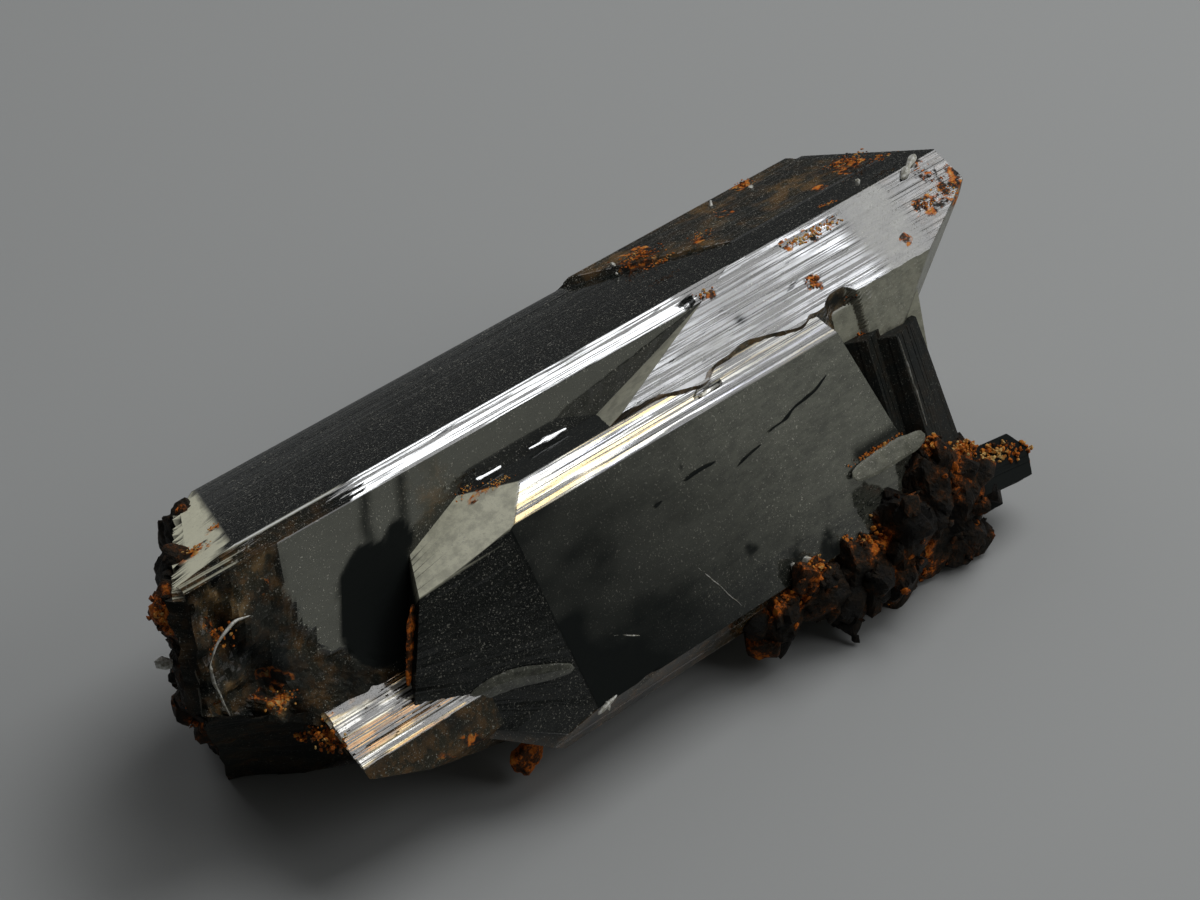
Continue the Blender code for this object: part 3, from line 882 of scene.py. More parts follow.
BLACK = (0.0032, 0.0052, 0.0047)
OLIVE = (0.024, 0.020, 0.009)
UMBER = (0.095, 0.050, 0.015)
OCHRE = (0.17, 0.095, 0.026)
# grey of a dust coat, also used for painted reflections of the floor
FILM_AND_REFLECTION_GREY = (0.082, 0.086, 0.068)
DUST = (0.42, 0.41, 0.35)
# pale of worn crystal, also used for painted highlights and reflections
PALE_WEAR_AND_HIGHLIGHT = (0.66, 0.65, 0.50)
# colour of the painted silvery sheen on the cleavage strips
SILVER_SHEEN = (0.80, 0.82, 0.84)
LODEN = (0.10, 0.115, 0.075)
MILKY_DARK, MILKY_LIGHT = (0.30, 0.29, 0.23), (0.62, 0.62, 0.58)
GREY_FLOOR = (0.36, 0.37, 0.37, 1.0)
SHEEN_STOPS = ((0.0, (0.72, 0.74, 0.92)), (0.25, (0.86, 0.87, 0.88)), (0.5, (0.84, 0.80, 0.66)),
               (0.75, (0.74, 0.56, 0.24)), (1.0, (0.58, 0.29, 0.09)))
RUST_STOPS = ((0.0, (0.004, 0.0035, 0.0025)), (0.28, (0.017, 0.010, 0.004)), (0.48, (0.085, 0.028, 0.006)),
              (0.64, (0.58, 0.135, 0.010)), (0.84, (0.62, 0.24, 0.030)), (1.0, (0.68, 0.46, 0.17)))


def crystal_material():
    """Near-black glassy aegirine: cleavage strips whose colour carries a painted silvery sheen over their
    real gloss, rust and pale films by mask, painted reflections and shade by mask, dust all over.
    """
    g = Graph("aegirine")
    place = g.place()
    drawn = g.place(0.045)
    broad = g.noise(drawn, 1.3, 3.0)
    streak = g.noise(drawn, 3.2, 4.0)
    line = g.noise(g.place(0.02), 9.0, 2.0)
    cloud = g.noise(place, 0.35, 4.0)
    blotch = g.noise(place, 1.1, 4.0, 0.65)
    speck = g.noise(place, 6.5, 1.0)
    grit = g.noise(place, 17.0, 1.0)
    scuff = g.noise(g.place(0.4), 2.2, 8.0, 0.8)
    silver, gold, rust, pale, brown, haze, dark, matte, luck = (g.mask(n) for n in (*MASKS, "luck"))

    base = g.mix(BLACK, OLIVE, streak.rise(0.5, 0.8) * 0.3)
    earthy = g.mix(g.mix(OLIVE, UMBER, blotch.rise(0.42, 0.62)), OCHRE,
                   (brown - 1.0) * blotch.rise(0.35, 0.55))
    base = g.mix(base, earthy, brown * cloud.rise(0.3, 0.55))
    # dust coat; on the big front face and on the flake under its end facet it is a painted reflection
    film_and_reflection = haze * (0.1 + 1.1 * cloud + 0.9 * (blotch - 0.5) + 0.8 * (scuff.rise(0.38, 0.62) - 0.5))
    base = g.mix(base, FILM_AND_REFLECTION_GREY, film_and_reflection)
    base = g.mix(base, PALE_WEAR_AND_HIGHLIGHT, pale * (0.68 + 0.32 * blotch.rise(0.33, 0.62)))
    dusty = speck.rise(0.655, 0.70) * 0.8 + grit.rise(0.66, 0.71) * 0.6
    base = g.mix(base, DUST, dusty * (0.5 + 0.5 * cloud.rise(0.42, 0.7)) * (1.0 - 0.7 * silver))
    # bright strips: real metallic gloss, with a painted sheen, silvery to golden, mixed into their colour
    drift = 0.45 * line + 0.35 * streak + 0.2 * luck
    white = silver * drift.rise(0.46, 0.54)
    groove = silver * drift.rise(0.43, 0.33)
    tint = 0.7 * broad.rise(0.36, 0.64) + 1.4 * (gold - 0.85)
    sheen = g.mix(SILVER_SHEEN, g.ramp(tint, SHEEN_STOPS), gold)
    base = g.mix(base, LODEN, silver * blotch.rise(0.50, 0.62) * 0.5)
    base = g.mix(base, sheen, white * 0.8)
    stain = (rust + 0.5 * cloud - 0.55).rise(0.0, 0.2) * blotch.rise(0.42, 0.52)
    rusted = g.ramp(g.noise(place, 1.5, 4.0).rise(0.28, 0.72), RUST_STOPS)
    base = g.mix(base, rusted, stain)
    rough = 0.06 + 0.04 * streak + 0.12 * white + 0.36 * groove + 0.30 * pale + 0.5 * stain
    striae = (streak * 0.4 + line * 0.2) * (0.2 + 0.8 * silver)
    normal = g.bump(striae + stain * 0.5 + dusty * 0.4 + blotch * matte * 3.0, 0.00002)
    glassy = g.principled(base, rough, normal, Metallic=white * 0.62, IOR=1.76)
    dull = g.principled(g.mix(base, BLACK, dark), 0.85, normal, IOR=1.3)
    share = g.most(g.most(dark, matte), stain * 0.8)
    return g.finish(g.node("ShaderNodeMixShader", {}, {0: share, 1: glassy, 2: dull}))


def matrix_material():
    """Rusty crumbling rock: near black through brown and orange to ochre by tone, pitted all over."""
    g = Graph("rusty_matrix")
    place = g.place()
    coarse = g.noise(place, 0.8, 5.0, 0.65)
    fine = g.noise(place, 5.0, 4.0, 0.7)
    tone = g.mask("tone") + (coarse - 0.5) * 1.7 + (fine - 0.5) * 0.7
    colour = g.ramp(tone, RUST_STOPS)
    rough = 0.32 + 0.5 * fine
    normal = g.bump(coarse * 0.7 + fine * 0.6, 0.00030)
    return g.finish(g.principled(colour, rough, normal, IOR=1.28))


def pale_material():
    """Milky fibres, and white flakes and bars that are painted glints and an edge highlight."""
    g = Graph("milky_and_glints")
    grain = g.noise(g.place(), 4.0, 3.0)
    colour = g.mix(MILKY_DARK, MILKY_LIGHT, grain.rise(0.35, 0.65))
    return g.finish(g.principled(colour, 0.35, IOR=1.55))


# ---- pieces

AEGIRINE = crystal_material(), "aegirine"   # a material and the slot it stands for
RUSTY = matrix_material(), "rusty_matrix"
MILKY_AND_GLINTS = pale_material(), "aegirine"
CRYSTAL, FAR_END, BROKEN_END = "aegirine_crystal", "matrix_far_end", "matrix_broken_end"   # CAD nodes

# black patch and streaks painted on the channel face: a painted reflection of the front crystal's dark end
REFLECTION_LOBES = ((-24.4, -5.0, -8.1, 3.5), (-23.7, -3.9, -5.9, 3.2), (-21.0, -3.0, -4.0, 1.5))
REFLECTION_STREAKS = (((-22.1, -1.2, 0.2), (-23.1, -2.2, -2.2), (-23.2, -2.7, -4.2)),
           ((-19.4, -1.5, -0.8), (-20.8, -3.4, -4.9)))
TAN = ((-35.0, -1.9, -1.6, 1.5), (-34.1, -2.5, -2.9, 1.3), (-31.0, -1.4, -0.6, 1.2),
       (-36.3, -4.6, -7.4, 1.6), (-33.2, -5.4, -9.3, 1.6), (-17.6, -2.4, -2.6, 2.2))
MAIN_RUST = ((-30.8, 4.1, -1.9, 0.8), (-33.5, 2.6, -1.2, 1.6), (22.9, 0.4, 0.5, 0.9),
             (-33.4, -4.8, -8.6, 2.4), (-35.8, -2.4, -4.0, 1.6), (-31.5, -2.6, -2.4, 1.2))
# dark spots painted as shade in pits and hollows of the big front face, and along a seam near its right end
SHADED_PITS = ((-0.8, -9.2, -5.6, 0.6), (-3.8, -9.8, -6.9, 0.5), (9.9, -14.2, -16.5, 1.6))
SHADED_HOLLOWS = ((3.0, -12.7, -13.2, 1.2), (6.4, -13.6, -15.0, 1.6), (9.2, -14.3, -16.5, 2.4))
SHADED_SEAM = ((14.4, -11.9, -11.4), (18.4, -11.9, -11.4))
FRONT_RUST = ((-14.3, -4.2, -3.0, 1.1), (-18.0, -2.0, -2.5, 0.8))


def paint_main(surface):
    """Bright band with a painted highlight along its ridge, worn bevel, the channel face's brown end and the
    black patch painted on it as the reflection of the front crystal's dark end, broken base, worn tips.
    """
    points, face, luck = surface
    x = points[..., 0]
    channel, bright, tip = face == FRONT, face == BRIGHT_TOP, np.isin(face, (-4, -5))
    tangent = across(BRIGHT_TOP)[1]
    down = points[..., 1] * tangent[0] + points[..., 2] * tangent[1]
    mottled = mottled_end(points, face)
    gloom = patchy(points, 2.4, 37, amount=0.8)
    # painted reflection of the front crystal's dark end: a black patch and streaks
    inside = most(*(radius - norm(points - np.array(centre), axis=-1) for *centre, radius in REFLECTION_LOBES))
    reflection_lobe = channel * smooth((inside + 0.22 * layered(points, 2.0, 38, 4)) / 0.35)
    reflection_streaks = channel * most(*(along(points, line, 0.85) for line in REFLECTION_STREAKS))
    tan = channel * near(points, TAN, 0.5)
    broken = (face == -1) | (face == -2)
    below = -(points[..., 1:] @ across(BACK_TOP)[0])
    ragged = layered(points * (0.3, 2.0, 2.0), 1.2, 33)
    bevel = (face == -3) * smooth((below - 0.07 - 0.045 * ragged) / 0.03)
    strips = bright & (x < -31.0 - 2.0 * luck)
    # a thin pale, silvery line along the ridge: a painted edge highlight
    ridge_highlight = bright & (down > -0.17) & (x > -32.5) & (x < -23.5)
    return masks(
        surface,
        silver=most(ragged_band(surface, BRIGHT_TOP, BAND_START, 8.5, 2.6), ridge_highlight * 0.9),
        luck=luck + 0.12 * bright,
        pale=most(bevel * 1.4, 0.06 * tan, strips * (luck > 0.5) * 0.55, ridge_highlight * 0.8, 0.24 * tip),
        haze=most(0.22 * channel * (x > -31) * (1.0 - mottled), tip),
        brown=most(mottled + tan, broken * 0.6, strips * (luck <= 0.5), 0.5 * (face == KEEL),
                   0.6 * bright * (x < BAND_START) * (down < -0.3), 0.4 * (face == FRONT_UNDER)),
        rust=most(broken * 0.28, near(points, MAIN_RUST)),
        matte=most(0.9 * mottled, 0.6 * tan, broken, strips * 0.9, 0.6 * bevel),
        dark=most(0.7 * broken, 0.85 * mottled * gloom * (1.0 - tan), reflection_lobe, 0.85 * reflection_streaks))


def paint_front(surface):
    """Striated top with a painted silvery sheen, left end facet painted pale as a reflection of the light
    above and behind, dust coat on the big front face with its cracks, lighter to the upper right and darker
    to the lower left as a painted reflection of the lit and shadowed floor, and painted shade in its pits and
    hollows.
    """
    points, face, luck = surface
    x, z = points[..., 0], points[..., 2]
    big = face == FRONT
    # lighter towards the upper right, darker towards the lower left: a painted reflection of the lit floor
    # and of the crystals' shadow on it
    film_and_reflection = smooth((x + 0.75 * (z + 12.0) + 12.0) / 30.0)
    # painted shade in the hollows and along the seam
    hollow_shade = most(near(points, SHADED_HOLLOWS, 0.5), along(points, SHADED_SEAM, 1.2))
    scuffs = patchy(points, 2.6, 39, amount=0.45, along_x=0.6, layers=4)
    # the painted silvery sheen weakens towards the right
    fading = 1.0 - 0.55 * smooth((x - 1.0) / 9.0)
    return masks(
        surface, silver=ragged_band(surface, BRIGHT_TOP, -17.0, 18.5, 0.6) * fading,
        # the left end facet painted pale: a painted reflection of the light above and behind
        luck=luck + 0.30 * smooth((1.0 - x) / 8.0), gold=0.90, pale=(face == -1) * 0.95,
        matte=np.where(face == -1, 0.5, 0.3 * (face == -2)),
        haze=np.where(big, 0.85 * film_and_reflection + 0.05, 0.10 * (face == -2)),
        brown=0.9 * np.isin(face, (FRONT_UNDER, KEEL, -4)), rust=near(points, FRONT_RUST),
        dark=most(near(points, SHADED_PITS) * big, 0.95 * hollow_shade * big, 0.75 * (face == BACK_TOP),
                  # darker towards the lower left: painted reflection of the shadowed floor; scuffs add random
                  # dark patches
                  (0.8 * (1.0 - film_and_reflection) + 0.28 * scuffs * (1.0 - 0.6 * film_and_reflection)) * big,
                  0.5 * (face == -2), 0.9 * (face == -3)))


# strength of the plateau's painted silvery sheen along X
PLATEAU_SHINE = ((-6.0, 0.62), (5.0, 0.46), (13.0, 0.36), (15.5, 0.72), (21.5, 0.72), (23.2, 0.04),
                 (27.6, 0.04), (29.0, 0.26), (34.0, 0.22))   # X, how silvery the plateau is there
PLATEAU_RUST = ((33.2, -3.6, -1.2, 3.0), (29.6, -3.4, -1.2, 1.7), (17.1, -4.3, -1.5, 1.2),
                (25.9, -4.9, -1.7, 0.9), (9.1, -1.0, -0.3, 1.2), (17.5, -0.8, -0.2, 1.0),
                (19.8, -1.1, -0.3, 1.2), (22.1, -1.1, -0.3, 0.9), (32.0, -1.2, -0.4, 1.8))
# dark spots painted as shade in two pits of the plateau
SHADED_PLATEAU_PITS = ((9.9, -3.9, -1.4, 0.8), (18.4, -6.4, -2.3, 1.2))
CRACK_STOP = 18.8   # X where the riser turns from a crack into a worn end


def paint_plateau(surface):
    """Terrace with a painted silvery sheen and rust pits, smooth near its tip, with painted shade in two
    pits; its riser is painted black as the shade in a crack, its end worn pale.
    """
    points, face, _ = surface
    x = points[..., 0]
    top, riser = face == BRIGHT_TOP, face == FRONT
    places, shine = np.array(PLATEAU_SHINE).T
    shine = np.interp(x + 0.9 * layered(points * (0.5, 1.0, 1.0), 2.0, 41), places, shine)
    green = patchy(points, 2.6, 42, middle=-0.1, along_x=0.4) * smooth((15.0 - x) / 3.0)
    worn_end = np.isin(face, (-1, -2, -3)) | (riser & (x > CRACK_STOP))
    # left of CRACK_STOP the riser is painted black as the shade in a crack
    crack = riser & (x <= CRACK_STOP)
    frosty = smooth_facet(x + 1.6 * layered(points * (0.5, 1.0, 1.0), 2.4, 45)) * top
    dappled = 0.72 + 0.5 * patchy(points, 1.1, 46, along_x=0.35)
    mossy = 0.04 * frosty + 0.10 * green * top
    return masks(
        surface, silver=np.clip(shine * dappled - 0.35 * green, 0.0, 1.0) * top, gold=0.12,
        pale=np.where(face == -4, 0.60, np.where(worn_end, 0.24, mossy)),
        brown=worn_end * 0.3 + 0.5 * top * (x > 28.0) + 1.6 * crack, haze=worn_end + 0.9 * frosty,
        matte=0.35 * worn_end, rust=near(points, PLATEAU_RUST),
        dark=most(near(points, SHADED_PLATEAU_PITS) * top,
                  crack * (0.45 + 0.5 * patchy(points, 1.4, 47, amount=1.0))))


REAR_RUST = ((8.4, 4.4, -1.4, 3.2), (9.5, 7.5, -2.6, 3.0), (12.4, 9.2, -3.6, 2.4), (10.9, 5.4, -1.8, 2.2),
             (15.6, 6.1, -2.2, 1.4), (24.5, 10.9, -4.4, 1.8), (30.0, 5.2, -1.8, 2.8),
             (30.7, 2.3, -0.4, 1.8), (20.0, 8.0, -3.0, 1.6), (26.0, 4.0, -1.4, 1.4))
LEDGE_RUST = ((-26.0, -10.8, -16.6, 3.0), (-22.6, -12.0, -15.6, 1.8))


def paint_rear(surface):
    """Dusty brown coat and rust spots on the top."""
    points, face, _ = surface
    top = (face == REAR_TOP) | (face == -1)
    return masks(surface, rust=near(points, REAR_RUST) * top,
                 haze=(0.08 + 0.36 * patchy(points, 2.2, 48, along_x=0.4)) * top,
                 brown=(0.2 + 1.3 * patchy(points, 1.8, 49, 0.4, 1.0, 0.6)) * top)


def paint_ledge(surface):
    """Striated top with a painted golden sheen over rusty, partly blackened sides."""
    points, face, _ = surface
    top = face == BRIGHT_TOP
    dappled = patchy(points, 0.8, 44, middle=0.65, along_x=0.45)
    return masks(surface, silver=ragged_band(surface, BRIGHT_TOP, -33.0, -21.0, 1.2) * 0.8 * dappled,
                 gold=1.08, brown=np.where(top, 0.5, 1.0), rust=0.62 * near(points, LEDGE_RUST) * ~top,
                 matte=0.85 * ~top, dark=0.5 * patchy(points, 2.0, 43, 0.4, 0.8) * ~top)


# path of a pale lens laid on the front crystal's lower end: a painted reflection
REFLECTION_SLIVER = ((-21.5, -10.55, -13.45), (-19.6, -10.9, -13.1), (-17.4, -11.75, -13.0), (-14.2, -12.95, -13.55))


def painted_cord(path, radius, thin, normal, luck=0.5, sides=6, uneven=0.0, **more):
    """A cord with these painting masks."""
    return masks((cord(path, radius, thin, normal, sides, uneven=uneven), 0.0, luck), **more)


def add_crystals():
    """The crystals; a pale flake under the front crystal's dark end facet is a painted reflection."""
    painters = (paint_main, paint_front, paint_plateau, paint_rear, paint_ledge)
    reflection_sliver = painted_cord(REFLECTION_SLIVER, 0.72, 0.18, (-0.283, -0.886, 0.368), sides=8, haze=0.9, pale=0.05)
    for (name, faces, ends, settings), paint in zip(CRYSTALS, painters):
        surface = paint(Prism(faces, ends, chips=CHIPS, **settings).surface())
        extra = [reflection_sliver] if name == "front_crystal" else []
        add_piece(name, [surface] + extra, *AEGIRINE, CRYSTAL)
    slab = masks(Prism(END_SLAB, SLAB_ENDS, seed=6, rows=60).surface(), haze=1.0, pale=0.34, matte=0.6)
    add_piece("end_slab", [slab], *AEGIRINE, CRYSTAL)
    leaning = [masks(surface, brown=0.4, dark=0.85) for surface in leaning_crystals()]
    add_piece("leaning_crystals", leaning, *AEGIRINE, CRYSTAL)


CRUSTS = (
    # place, reach along X and across, face it lies on, count, size, tone
    ((19.8, -1.0, -0.3), 2.6, 0.45, BRIGHT_TOP, 126, 0.16, 0.85),
    ((17.1, -4.3, -1.5), 0.5, 0.4, BRIGHT_TOP, 25, 0.18, 0.6),
    ((9.1, -1.0, -0.3), 0.8, 0.35, BRIGHT_TOP, 32, 0.14, 0.7),
    ((32.2, -3.0, -1.1), 1.1, 1.0, BRIGHT_TOP, 81, 0.17, 0.62),
    ((29.6, -3.4, -1.2), 0.9, 0.6, BRIGHT_TOP, 39, 0.16, 0.62),
    ((18.4, -6.6, -2.4), 0.7, 0.5, BRIGHT_TOP, 21, 0.16, 0.2),
    ((11.6, 8.4, -3.3), 1.8, 1.3, REAR_TOP, 108, 0.19, 0.66),
    ((10.9, 5.4, -1.8), 1.2, 0.5, REAR_TOP, 54, 0.16, 0.7),
    ((15.6, 6.1, -2.2), 1.0, 0.6, REAR_TOP, 43, 0.14, 0.65),
    ((24.5, 10.9, -4.4), 1.0, 0.7, REAR_TOP, 43, 0.17, 0.7),
    ((30.0, 5.2, -1.8), 1.8, 1.2, REAR_TOP, 108, 0.19, 0.62),
    ((30.7, 2.3, -0.4), 1.2, 0.7, REAR_TOP, 46, 0.17, 0.6),
    ((22.9, 0.4, 0.1), 0.7, 0.35, BACK_TOP, 32, 0.16, 0.72),
    ((-30.8, 4.1, -1.9), 0.5, 0.4, BACK_TOP, 14, 0.14, 0.75),
    ((-33.5, 2.6, -1.2), 0.9, 0.7, BACK_TOP, 39, 0.16, 0.8),
    ((-33.1, -5.5, -9.4), 1.3, 0.7, FRONT, 46, 0.16, 0.75),
    ((18.9, -7.5, -5.4), 1.3, 0.5, BRIGHT_TOP, 46, 0.26, 0.55),
    ((-13.4, -4.6, -2.7), 1.1, 0.5, BRIGHT_TOP, 60, 0.12, 0.85),
    ((-15.1, -3.2, -3.5), 0.9, 0.5, BRIGHT_TOP, 50, 0.12, 0.85),
    ((16.0, -12.2, -11.7), 2.4, 0.2, FRONT, 110, 0.15, 0.62),
    ((20.4, -13.2, -13.2), 0.6, 0.7, FRONT, 60, 0.20, 0.70),
    ((-30.9, -7.2, -13.2), 1.1, 1.2, FRONT, 150, 0.26, 0.62),
    ((-35.9, -2.6, -4.2), 1.4, 0.9, FRONT, 50, 0.24, 0.66),
)
GLINTS = (
    # white flakes painted as glints: place, size
    (9.7, 9.2, -3.6, 0.30), (8.6, 7.6, -3.0, 0.25), (20.9, 10.4, -4.2, 0.45), (24.4, 9.6, -3.9, 0.40),
    (26.5, 0.6, 0.25, 0.4), (-38.6, -0.2, -6.4, 0.75), (-38.4, -2.6, -7.4, 0.5), (24.3, -15.2, -21.4, 0.9),
    (7.0, -14.2, -16.1, 0.9), (5.9, -14.0, -15.7, 0.5), (-12.7, -14.6, -16.9, 0.4),
)
FIBRES = (
    # pale ridges and fibres, with one bar painted as an edge highlight and one as a glint: half width, then
    # the places they run through
    (0.13, ((-33.3, -2.8, -3.6), (-34.5, -2.7, -3.4), (-36.2, -3.0, -4.0), (-37.2, -3.4, -4.9),
            (-37.5, -4.1, -6.3), (-36.8, -4.7, -9.3))),
    (0.045, ((-2.0, -12.3, -12.2), (-0.8, -13.2, -14.0), (0.6, -14.2, -16.2))),
    (0.05, ((-11.2, -12.5, -12.7), (-8.3, -13.2, -14.1))),
    (0.16, ((-13.7, -14.7, -17.1), (-11.7, -14.5, -16.6))),
    # painted edge highlight along the leaning crystal's front edge
    (0.10, ((20.9, -9.2, -5.6), (21.3, -12.4, -12.4))),
    # painted glint: a white bar near the tip
    (0.32, ((29.6, -0.9, -0.15), (32.1, 0.2, 0.2))),
)
CRACKS = (
    # fine dark cracks in the big front face: half width, then the places they run through
    (0.10, ((7.1, -9.8, -6.6), (9.0, -9.7, -6.5), (9.9, -9.5, -6.1), (12.3, -9.4, -5.8), (13.7, -9.1, -5.3))),
    (0.07, ((3.6, -10.2, -7.6), (4.9, -10.1, -7.3), (6.3, -10.0, -7.1))),
    (0.11, ((-1.0, -9.7, -6.5), (0.6, -9.7, -6.4), (2.1, -9.7, -6.5))),
    (0.10, ((-4.0, -10.0, -7.0), (-3.2, -9.9, -6.9))),
)
LEDGES = (
    # bright slivers of cleavage with a painted silvery sheen, where the front crystal meets the main one
    ((-14.0, -2.8, -3.25), (-12.8, -2.8, -3.25), (-11.7, -2.8, -3.25)),
    ((-9.2, -2.8, -3.25), (-7.6, -2.8, -3.25), (-5.7, -2.8, -3.25)),
)
BAND = ((20.5, -12.9, -12.4), (16.9, -12.8, -12.3), (13.0, -12.8, -12.4))
RUSTY_SHARD = (-17.0, -11.0, -21.6, 1.5, 1.1, 1.6)
RUSTY_SEAM = ((-22.9, -6.6, -6.6), (-23.9, -7.4, -8.8), (-24.9, -8.2, -11.6))


def add_films():
    """Crusts, fibres, and the flakes and bars painted as glints and an edge highlight, that sit on the
    crystals.
    """
    grains = [grain for seed, row in enumerate(CRUSTS) for grain in crust(*row, seed=100 + seed)]
    shard = chunks([RUSTY_SHARD], [11], 24, 32, 0.25)
    seam = [cord(RUSTY_SEAM, 0.42, uneven=0.5)]
    add_piece("rust_crusts", [*grains, *toned(shard, 0.58, 0.0, 12), *toned(seam, 0.50, 0.0, 13)],
              *RUSTY, CRYSTAL)
    # white flakes that stand for painted glints
    table = np.array(GLINTS)
    flakes = crumbs(table[:, :3], table[:, 3:] * (1.0, 0.6, 0.45), 71)
    bars = [cord(path, radius, uneven=0.5) for radius, path in FIBRES]
    add_piece("glint_flakes_and_fibres", [(grid, {}) for grid in [*flakes, *bars]], *MILKY_AND_GLINTS, CRYSTAL)
    band = painted_cord(BAND, 0.80, 0.2, (-0.52, -0.56, 0.64), sides=8, haze=1.0, pale=0.15, matte=0.9)
    cracks = [painted_cord(path, radius, 0.3, (0.0, -0.906, 0.423), uneven=0.7, dark=1.0)
              for radius, path in CRACKS]
    slivers = [painted_cord(path, 0.15, 0.3, (0.0, -0.342, 0.940), luck=1.0, uneven=0.6, silver=1.0)
               for path in LEDGES]
    add_piece("pale_blade", [band] + cracks + slivers, *AEGIRINE, CRYSTAL)


FAR_RIMS = (
    # lines of crumbs along the far matrix: count, size, tone, places
    (360, 0.27, 0.76, ((23.2, -14.0, -13.6), (25.0, -14.0, -14.9), (27.0, -14.0, -16.7),
                      (29.3, -14.0, -18.4), (31.4, -14.0, -19.1))),
    (110, 0.28, 0.70, ((21.8, -14.4, -15.9), (21.5, -14.4, -16.5), (23.7, -14.4, -18.8),
                      (25.6, -14.4, -20.1))),
    (110, 0.30, 0.62, ((11.6, -14.4, -14.3), (13.0, -14.8, -16.4), (14.4, -15.4, -18.6),
                      (14.7, -15.8, -19.8))),
    (90, 0.32, 0.54, ((17.2, -14.8, -18.1), (18.1, -15.6, -22.6))),
    (54, 0.32, 0.78, ((6.6, -14.8, -16.1), (8.1, -14.8, -16.3))),
    (54, 0.27, 0.60, ((3.6, -14.4, -17.2), (5.7, -14.6, -18.0))),
    (60, 0.28, 0.64, ((20.2, -12.9, -13.7), (20.8, -13.6, -12.7))),
)
BASE_RIMS = (
    (40, 0.34, 0.62, ((-37.7, 0.7, -2.8), (-37.9, 0.2, -3.4))),
    (36, 0.30, 0.58, ((-38.6, -1.8, -3.0), (-38.2, -2.6, -4.8))),
    (82, 0.27, 0.60, ((-31.8, -5.2, -13.8), (-31.1, -6.4, -13.0), (-30.9, -8.8, -12.7))),
    (43, 0.22, 0.55, ((-38.0, -3.4, -6.0), (-36.8, -5.0, -10.0))),
)


def rim_crumbs(rows, lumps, seed):
    """Crumbs strewn at random along each line, settled on these lumps and stirred a little."""
    rng = np.random.default_rng(seed)
    for number, (count, size, tone, path) in enumerate(rows, seed):
        path = np.array(path)
        places = on_path(path, rng.uniform(0.0, len(path) - 1.0, count))
        places = settled(places + rng.normal(0.0, 1.2 * size, (count, 3)), lumps)
        places = places + rng.normal(0.0, 0.16, (count, 3))
        sizes = size * rng.uniform(0.3, 1.1, (count, 1)) * rng.uniform(0.5, 1.0, (count, 3))
        yield from toned(crumbs(places, sizes, number), tone, 0.16, number)


def rubble(spots, rims, draws, seed, rows, cols, blocks, small, tones, rim_seed, edges=()):
    """Lumps at these spots with blocks set into them, crumbs strewn over both and along the rims.

    blocks: count, least and most size, seed.  small: count, most size, seeds of their places and
    shapes.  tones: tone, spread and seed of the lumps, the blocks and the crumbs."""
    spots, lines, rng = list(spots), [path for *_, path in rims], random.Random(seed)
    lumps = list(chunks(spots, [rng.randrange(10000) for _ in spots], rows, cols, 0.30))
    shards = list(shards_on(lumps, *blocks))
    count, most, place_seed, shape_seed = small
    sizes = draws.uniform(0.10, most, (count, 3))
    grains = crumbs(scatter_on(lumps + shards, count, place_seed), sizes, shape_seed)
    lump_tone, shard_tone, grain_tone = tones
    return [*toned(lumps, *lump_tone, lines), *toned(shards, *shard_tone, lines),
            *toned(grains, *grain_tone), *rim_crumbs(rims, lumps + shards + list(edges), rim_seed)]


def add_matrix():
    """Rubble at both ends of the crystals and the thin dark crystals of the far end."""
    draws = np.random.default_rng(8)
    edges = [points for points, _, _ in blades()]
    far = rubble(FAR_MATRIX, FAR_RIMS, draws, seed=5, rows=40, cols=60, blocks=(150, 0.5, 1.7, 21),
                 small=(760, 0.45, 3, 6), tones=((0.14, 0.04, 1), (0.12, 0.12, 5), (0.26, 0.16, 2)),
                 rim_seed=40, edges=edges)
    add_piece("far_rubble", far, *RUSTY, FAR_END)
    dark_blades = [masks(surface, brown=0.3, dark=1.0) for surface in blades()]
    add_piece("far_blades", dark_blades, *AEGIRINE, FAR_END)
    base = rubble(base_spots(), BASE_RIMS, draws, seed=9, rows=32, cols=48, blocks=(70, 0.4, 1.3, 22),
                  small=(500, 0.40, 4, 7), tones=((0.14, 0.04, 3), (0.14, 0.08, 6), (0.26, 0.14, 4)),
                  rim_seed=60)
    add_piece("base_rubble", base, *RUSTY, BROKEN_END)


add_crystals()
add_films()
add_matrix()


# ---- floor, lights and camera

WORLD_LIGHT = 0.05
LAMP_AIM = (0.0, 0.0, 0.012)               # the place the lights face
FLOOR_RADIUS, FLOOR_SIDES = 0.28, 96
SENSOR = 36.0                              # width, mm
FOCAL, CENTRE_X, CENTRE_Y = 3276.0, 600.0, 450.0   # focal length and middle of the frame, in its pixels
AIM_Y = 337.6                              # height in the frame of the origin the camera stands back from
CAMERA_DOWN, CAMERA_TURN, CAMERA_RANGE = 40.0, 42.5, 229.0   # degrees, degrees, mm
LIGHTS = (
    # name, way from the crystals, distance, width, height, radiance, colour
    ("key", (0.5175, 0.0195, 0.8554), 0.45, 0.32, 0.32, 3.6, (1.0, 1.0, 1.0)),
    ("front_fill", (0.52, -0.86, 0.06), 0.60, 0.40, 0.30, 0.60, (1.0, 1.02, 0.86)),
    ("front_top", (0.5, -0.6, 0.62), 0.50, 0.26, 0.26, 1.7, (1.0, 1.0, 1.0)),
    ("back_fill", (-0.02, 0.65, 0.76), 0.50, 0.30, 0.25, 1.0, (1.0, 1.0, 1.0)),
)


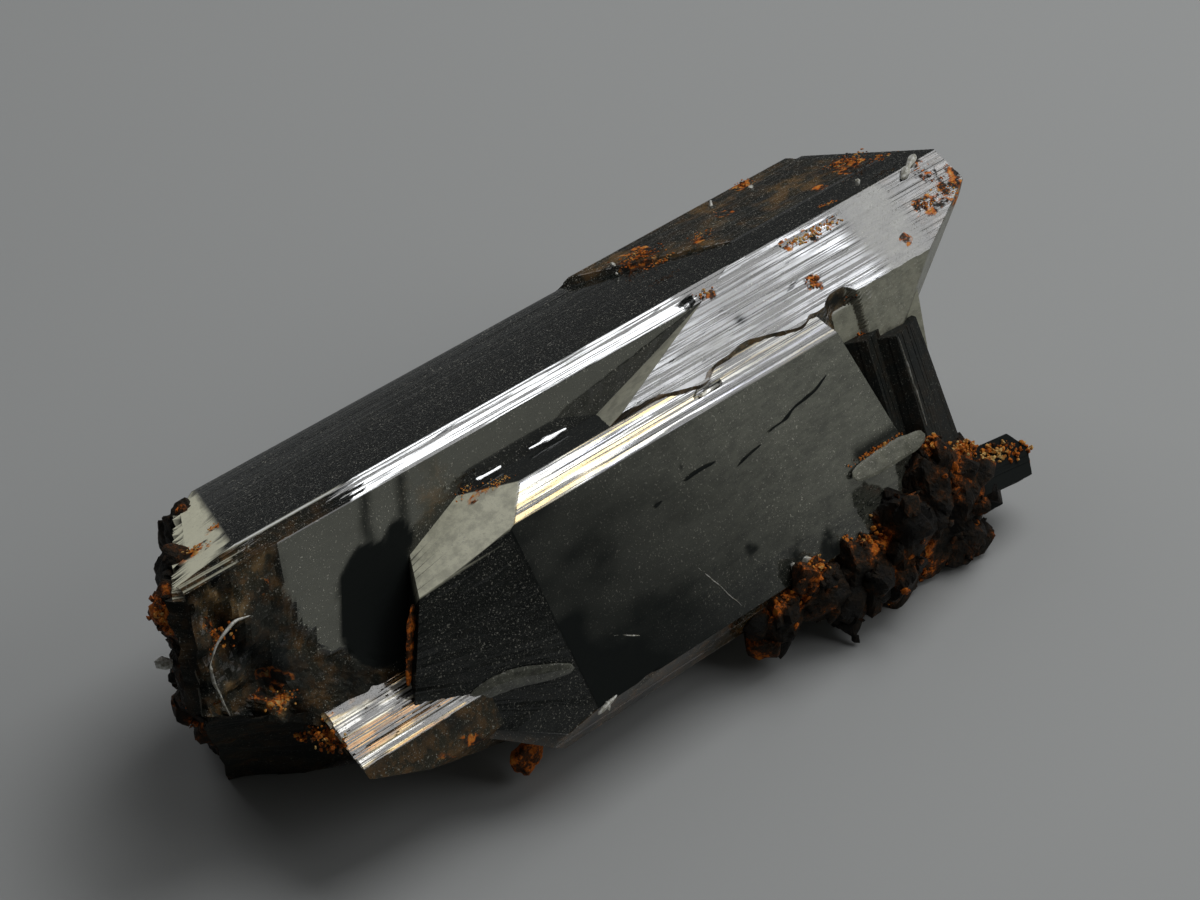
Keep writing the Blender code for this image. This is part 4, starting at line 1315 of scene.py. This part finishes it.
def add_floor():
    """A flat grey disc."""
    turn = round_turn(FLOOR_SIDES)
    ring = np.stack([FLOOR_RADIUS * np.cos(turn), FLOOR_RADIUS * np.sin(turn), 0 * turn], -1)
    mesh = bpy.data.meshes.new("floor")
    mesh.from_pydata(ring.tolist(), [], [tuple(range(FLOOR_SIDES))])
    g = Graph("floor")
    mesh.materials.append(g.finish(g.principled(GREY_FLOOR, 0.7)))
    floor = bpy.data.objects.new("floor", mesh)
    bpy.context.scene.collection.objects.link(floor)
    floor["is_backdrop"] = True


def softbox(name, way, distance, width, height, radiance, colour):
    """A rectangular soft light this way from the crystals, facing them."""
    light = bpy.data.lights.new(name, "AREA")
    light.shape = "RECTANGLE"
    light.size, light.size_y = width, height
    light.energy = radiance * math.pi * width * height
    light.color = colour
    lamp = bpy.data.objects.new(name, light)
    way = Vector(way).normalized()
    lamp.location = Vector(LAMP_AIM) + way * distance
    lamp.rotation_euler = way.to_track_quat("Z", "Y").to_euler()
    lamp.visible_camera = False
    bpy.context.scene.collection.objects.link(lamp)


def add_lights():
    for row in LIGHTS:
        softbox(*row)
    world = bpy.data.worlds.new("studio")
    bpy.context.scene.world = world
    world.use_nodes = True
    world.node_tree.nodes["Background"].inputs["Color"].default_value = (1, 1, 1, 1)
    world.node_tree.nodes["Background"].inputs["Strength"].default_value = WORLD_LIGHT


def add_camera():
    """Looks down on the crystals from the front left."""
    down, turn = math.radians(CAMERA_DOWN), math.radians(CAMERA_TURN)
    right = Vector((math.cos(turn), -math.sin(turn), 0.0))
    ahead = Vector((math.sin(turn) * math.cos(down), math.cos(turn) * math.cos(down), -math.sin(down)))
    up = right.cross(ahead)
    towards = (FOCAL * ahead - (AIM_Y - CENTRE_Y) * up).normalized()
    place = (-towards * CAMERA_RANGE + Vector(FRAME_SHIFT)) * MM
    camera = bpy.data.cameras.new("camera")
    camera.sensor_width = SENSOR
    camera.lens = FOCAL / (2 * CENTRE_X) * SENSOR
    camera.clip_start, camera.clip_end = 0.005, 20.0
    holder = bpy.data.objects.new("camera", camera)
    holder.matrix_world = Matrix.Translation(place) @ Matrix((right, up, -ahead)).transposed().to_4x4()
    bpy.context.scene.collection.objects.link(holder)
    bpy.context.scene.camera = holder


add_floor()
add_lights()
add_camera()
bpy.context.scene.view_settings.view_transform = "Standard"

boxes = {"cad": cad_box, "visual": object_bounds()}
{key: [list(corner) for corner in box] for key, box in boxes.items()}
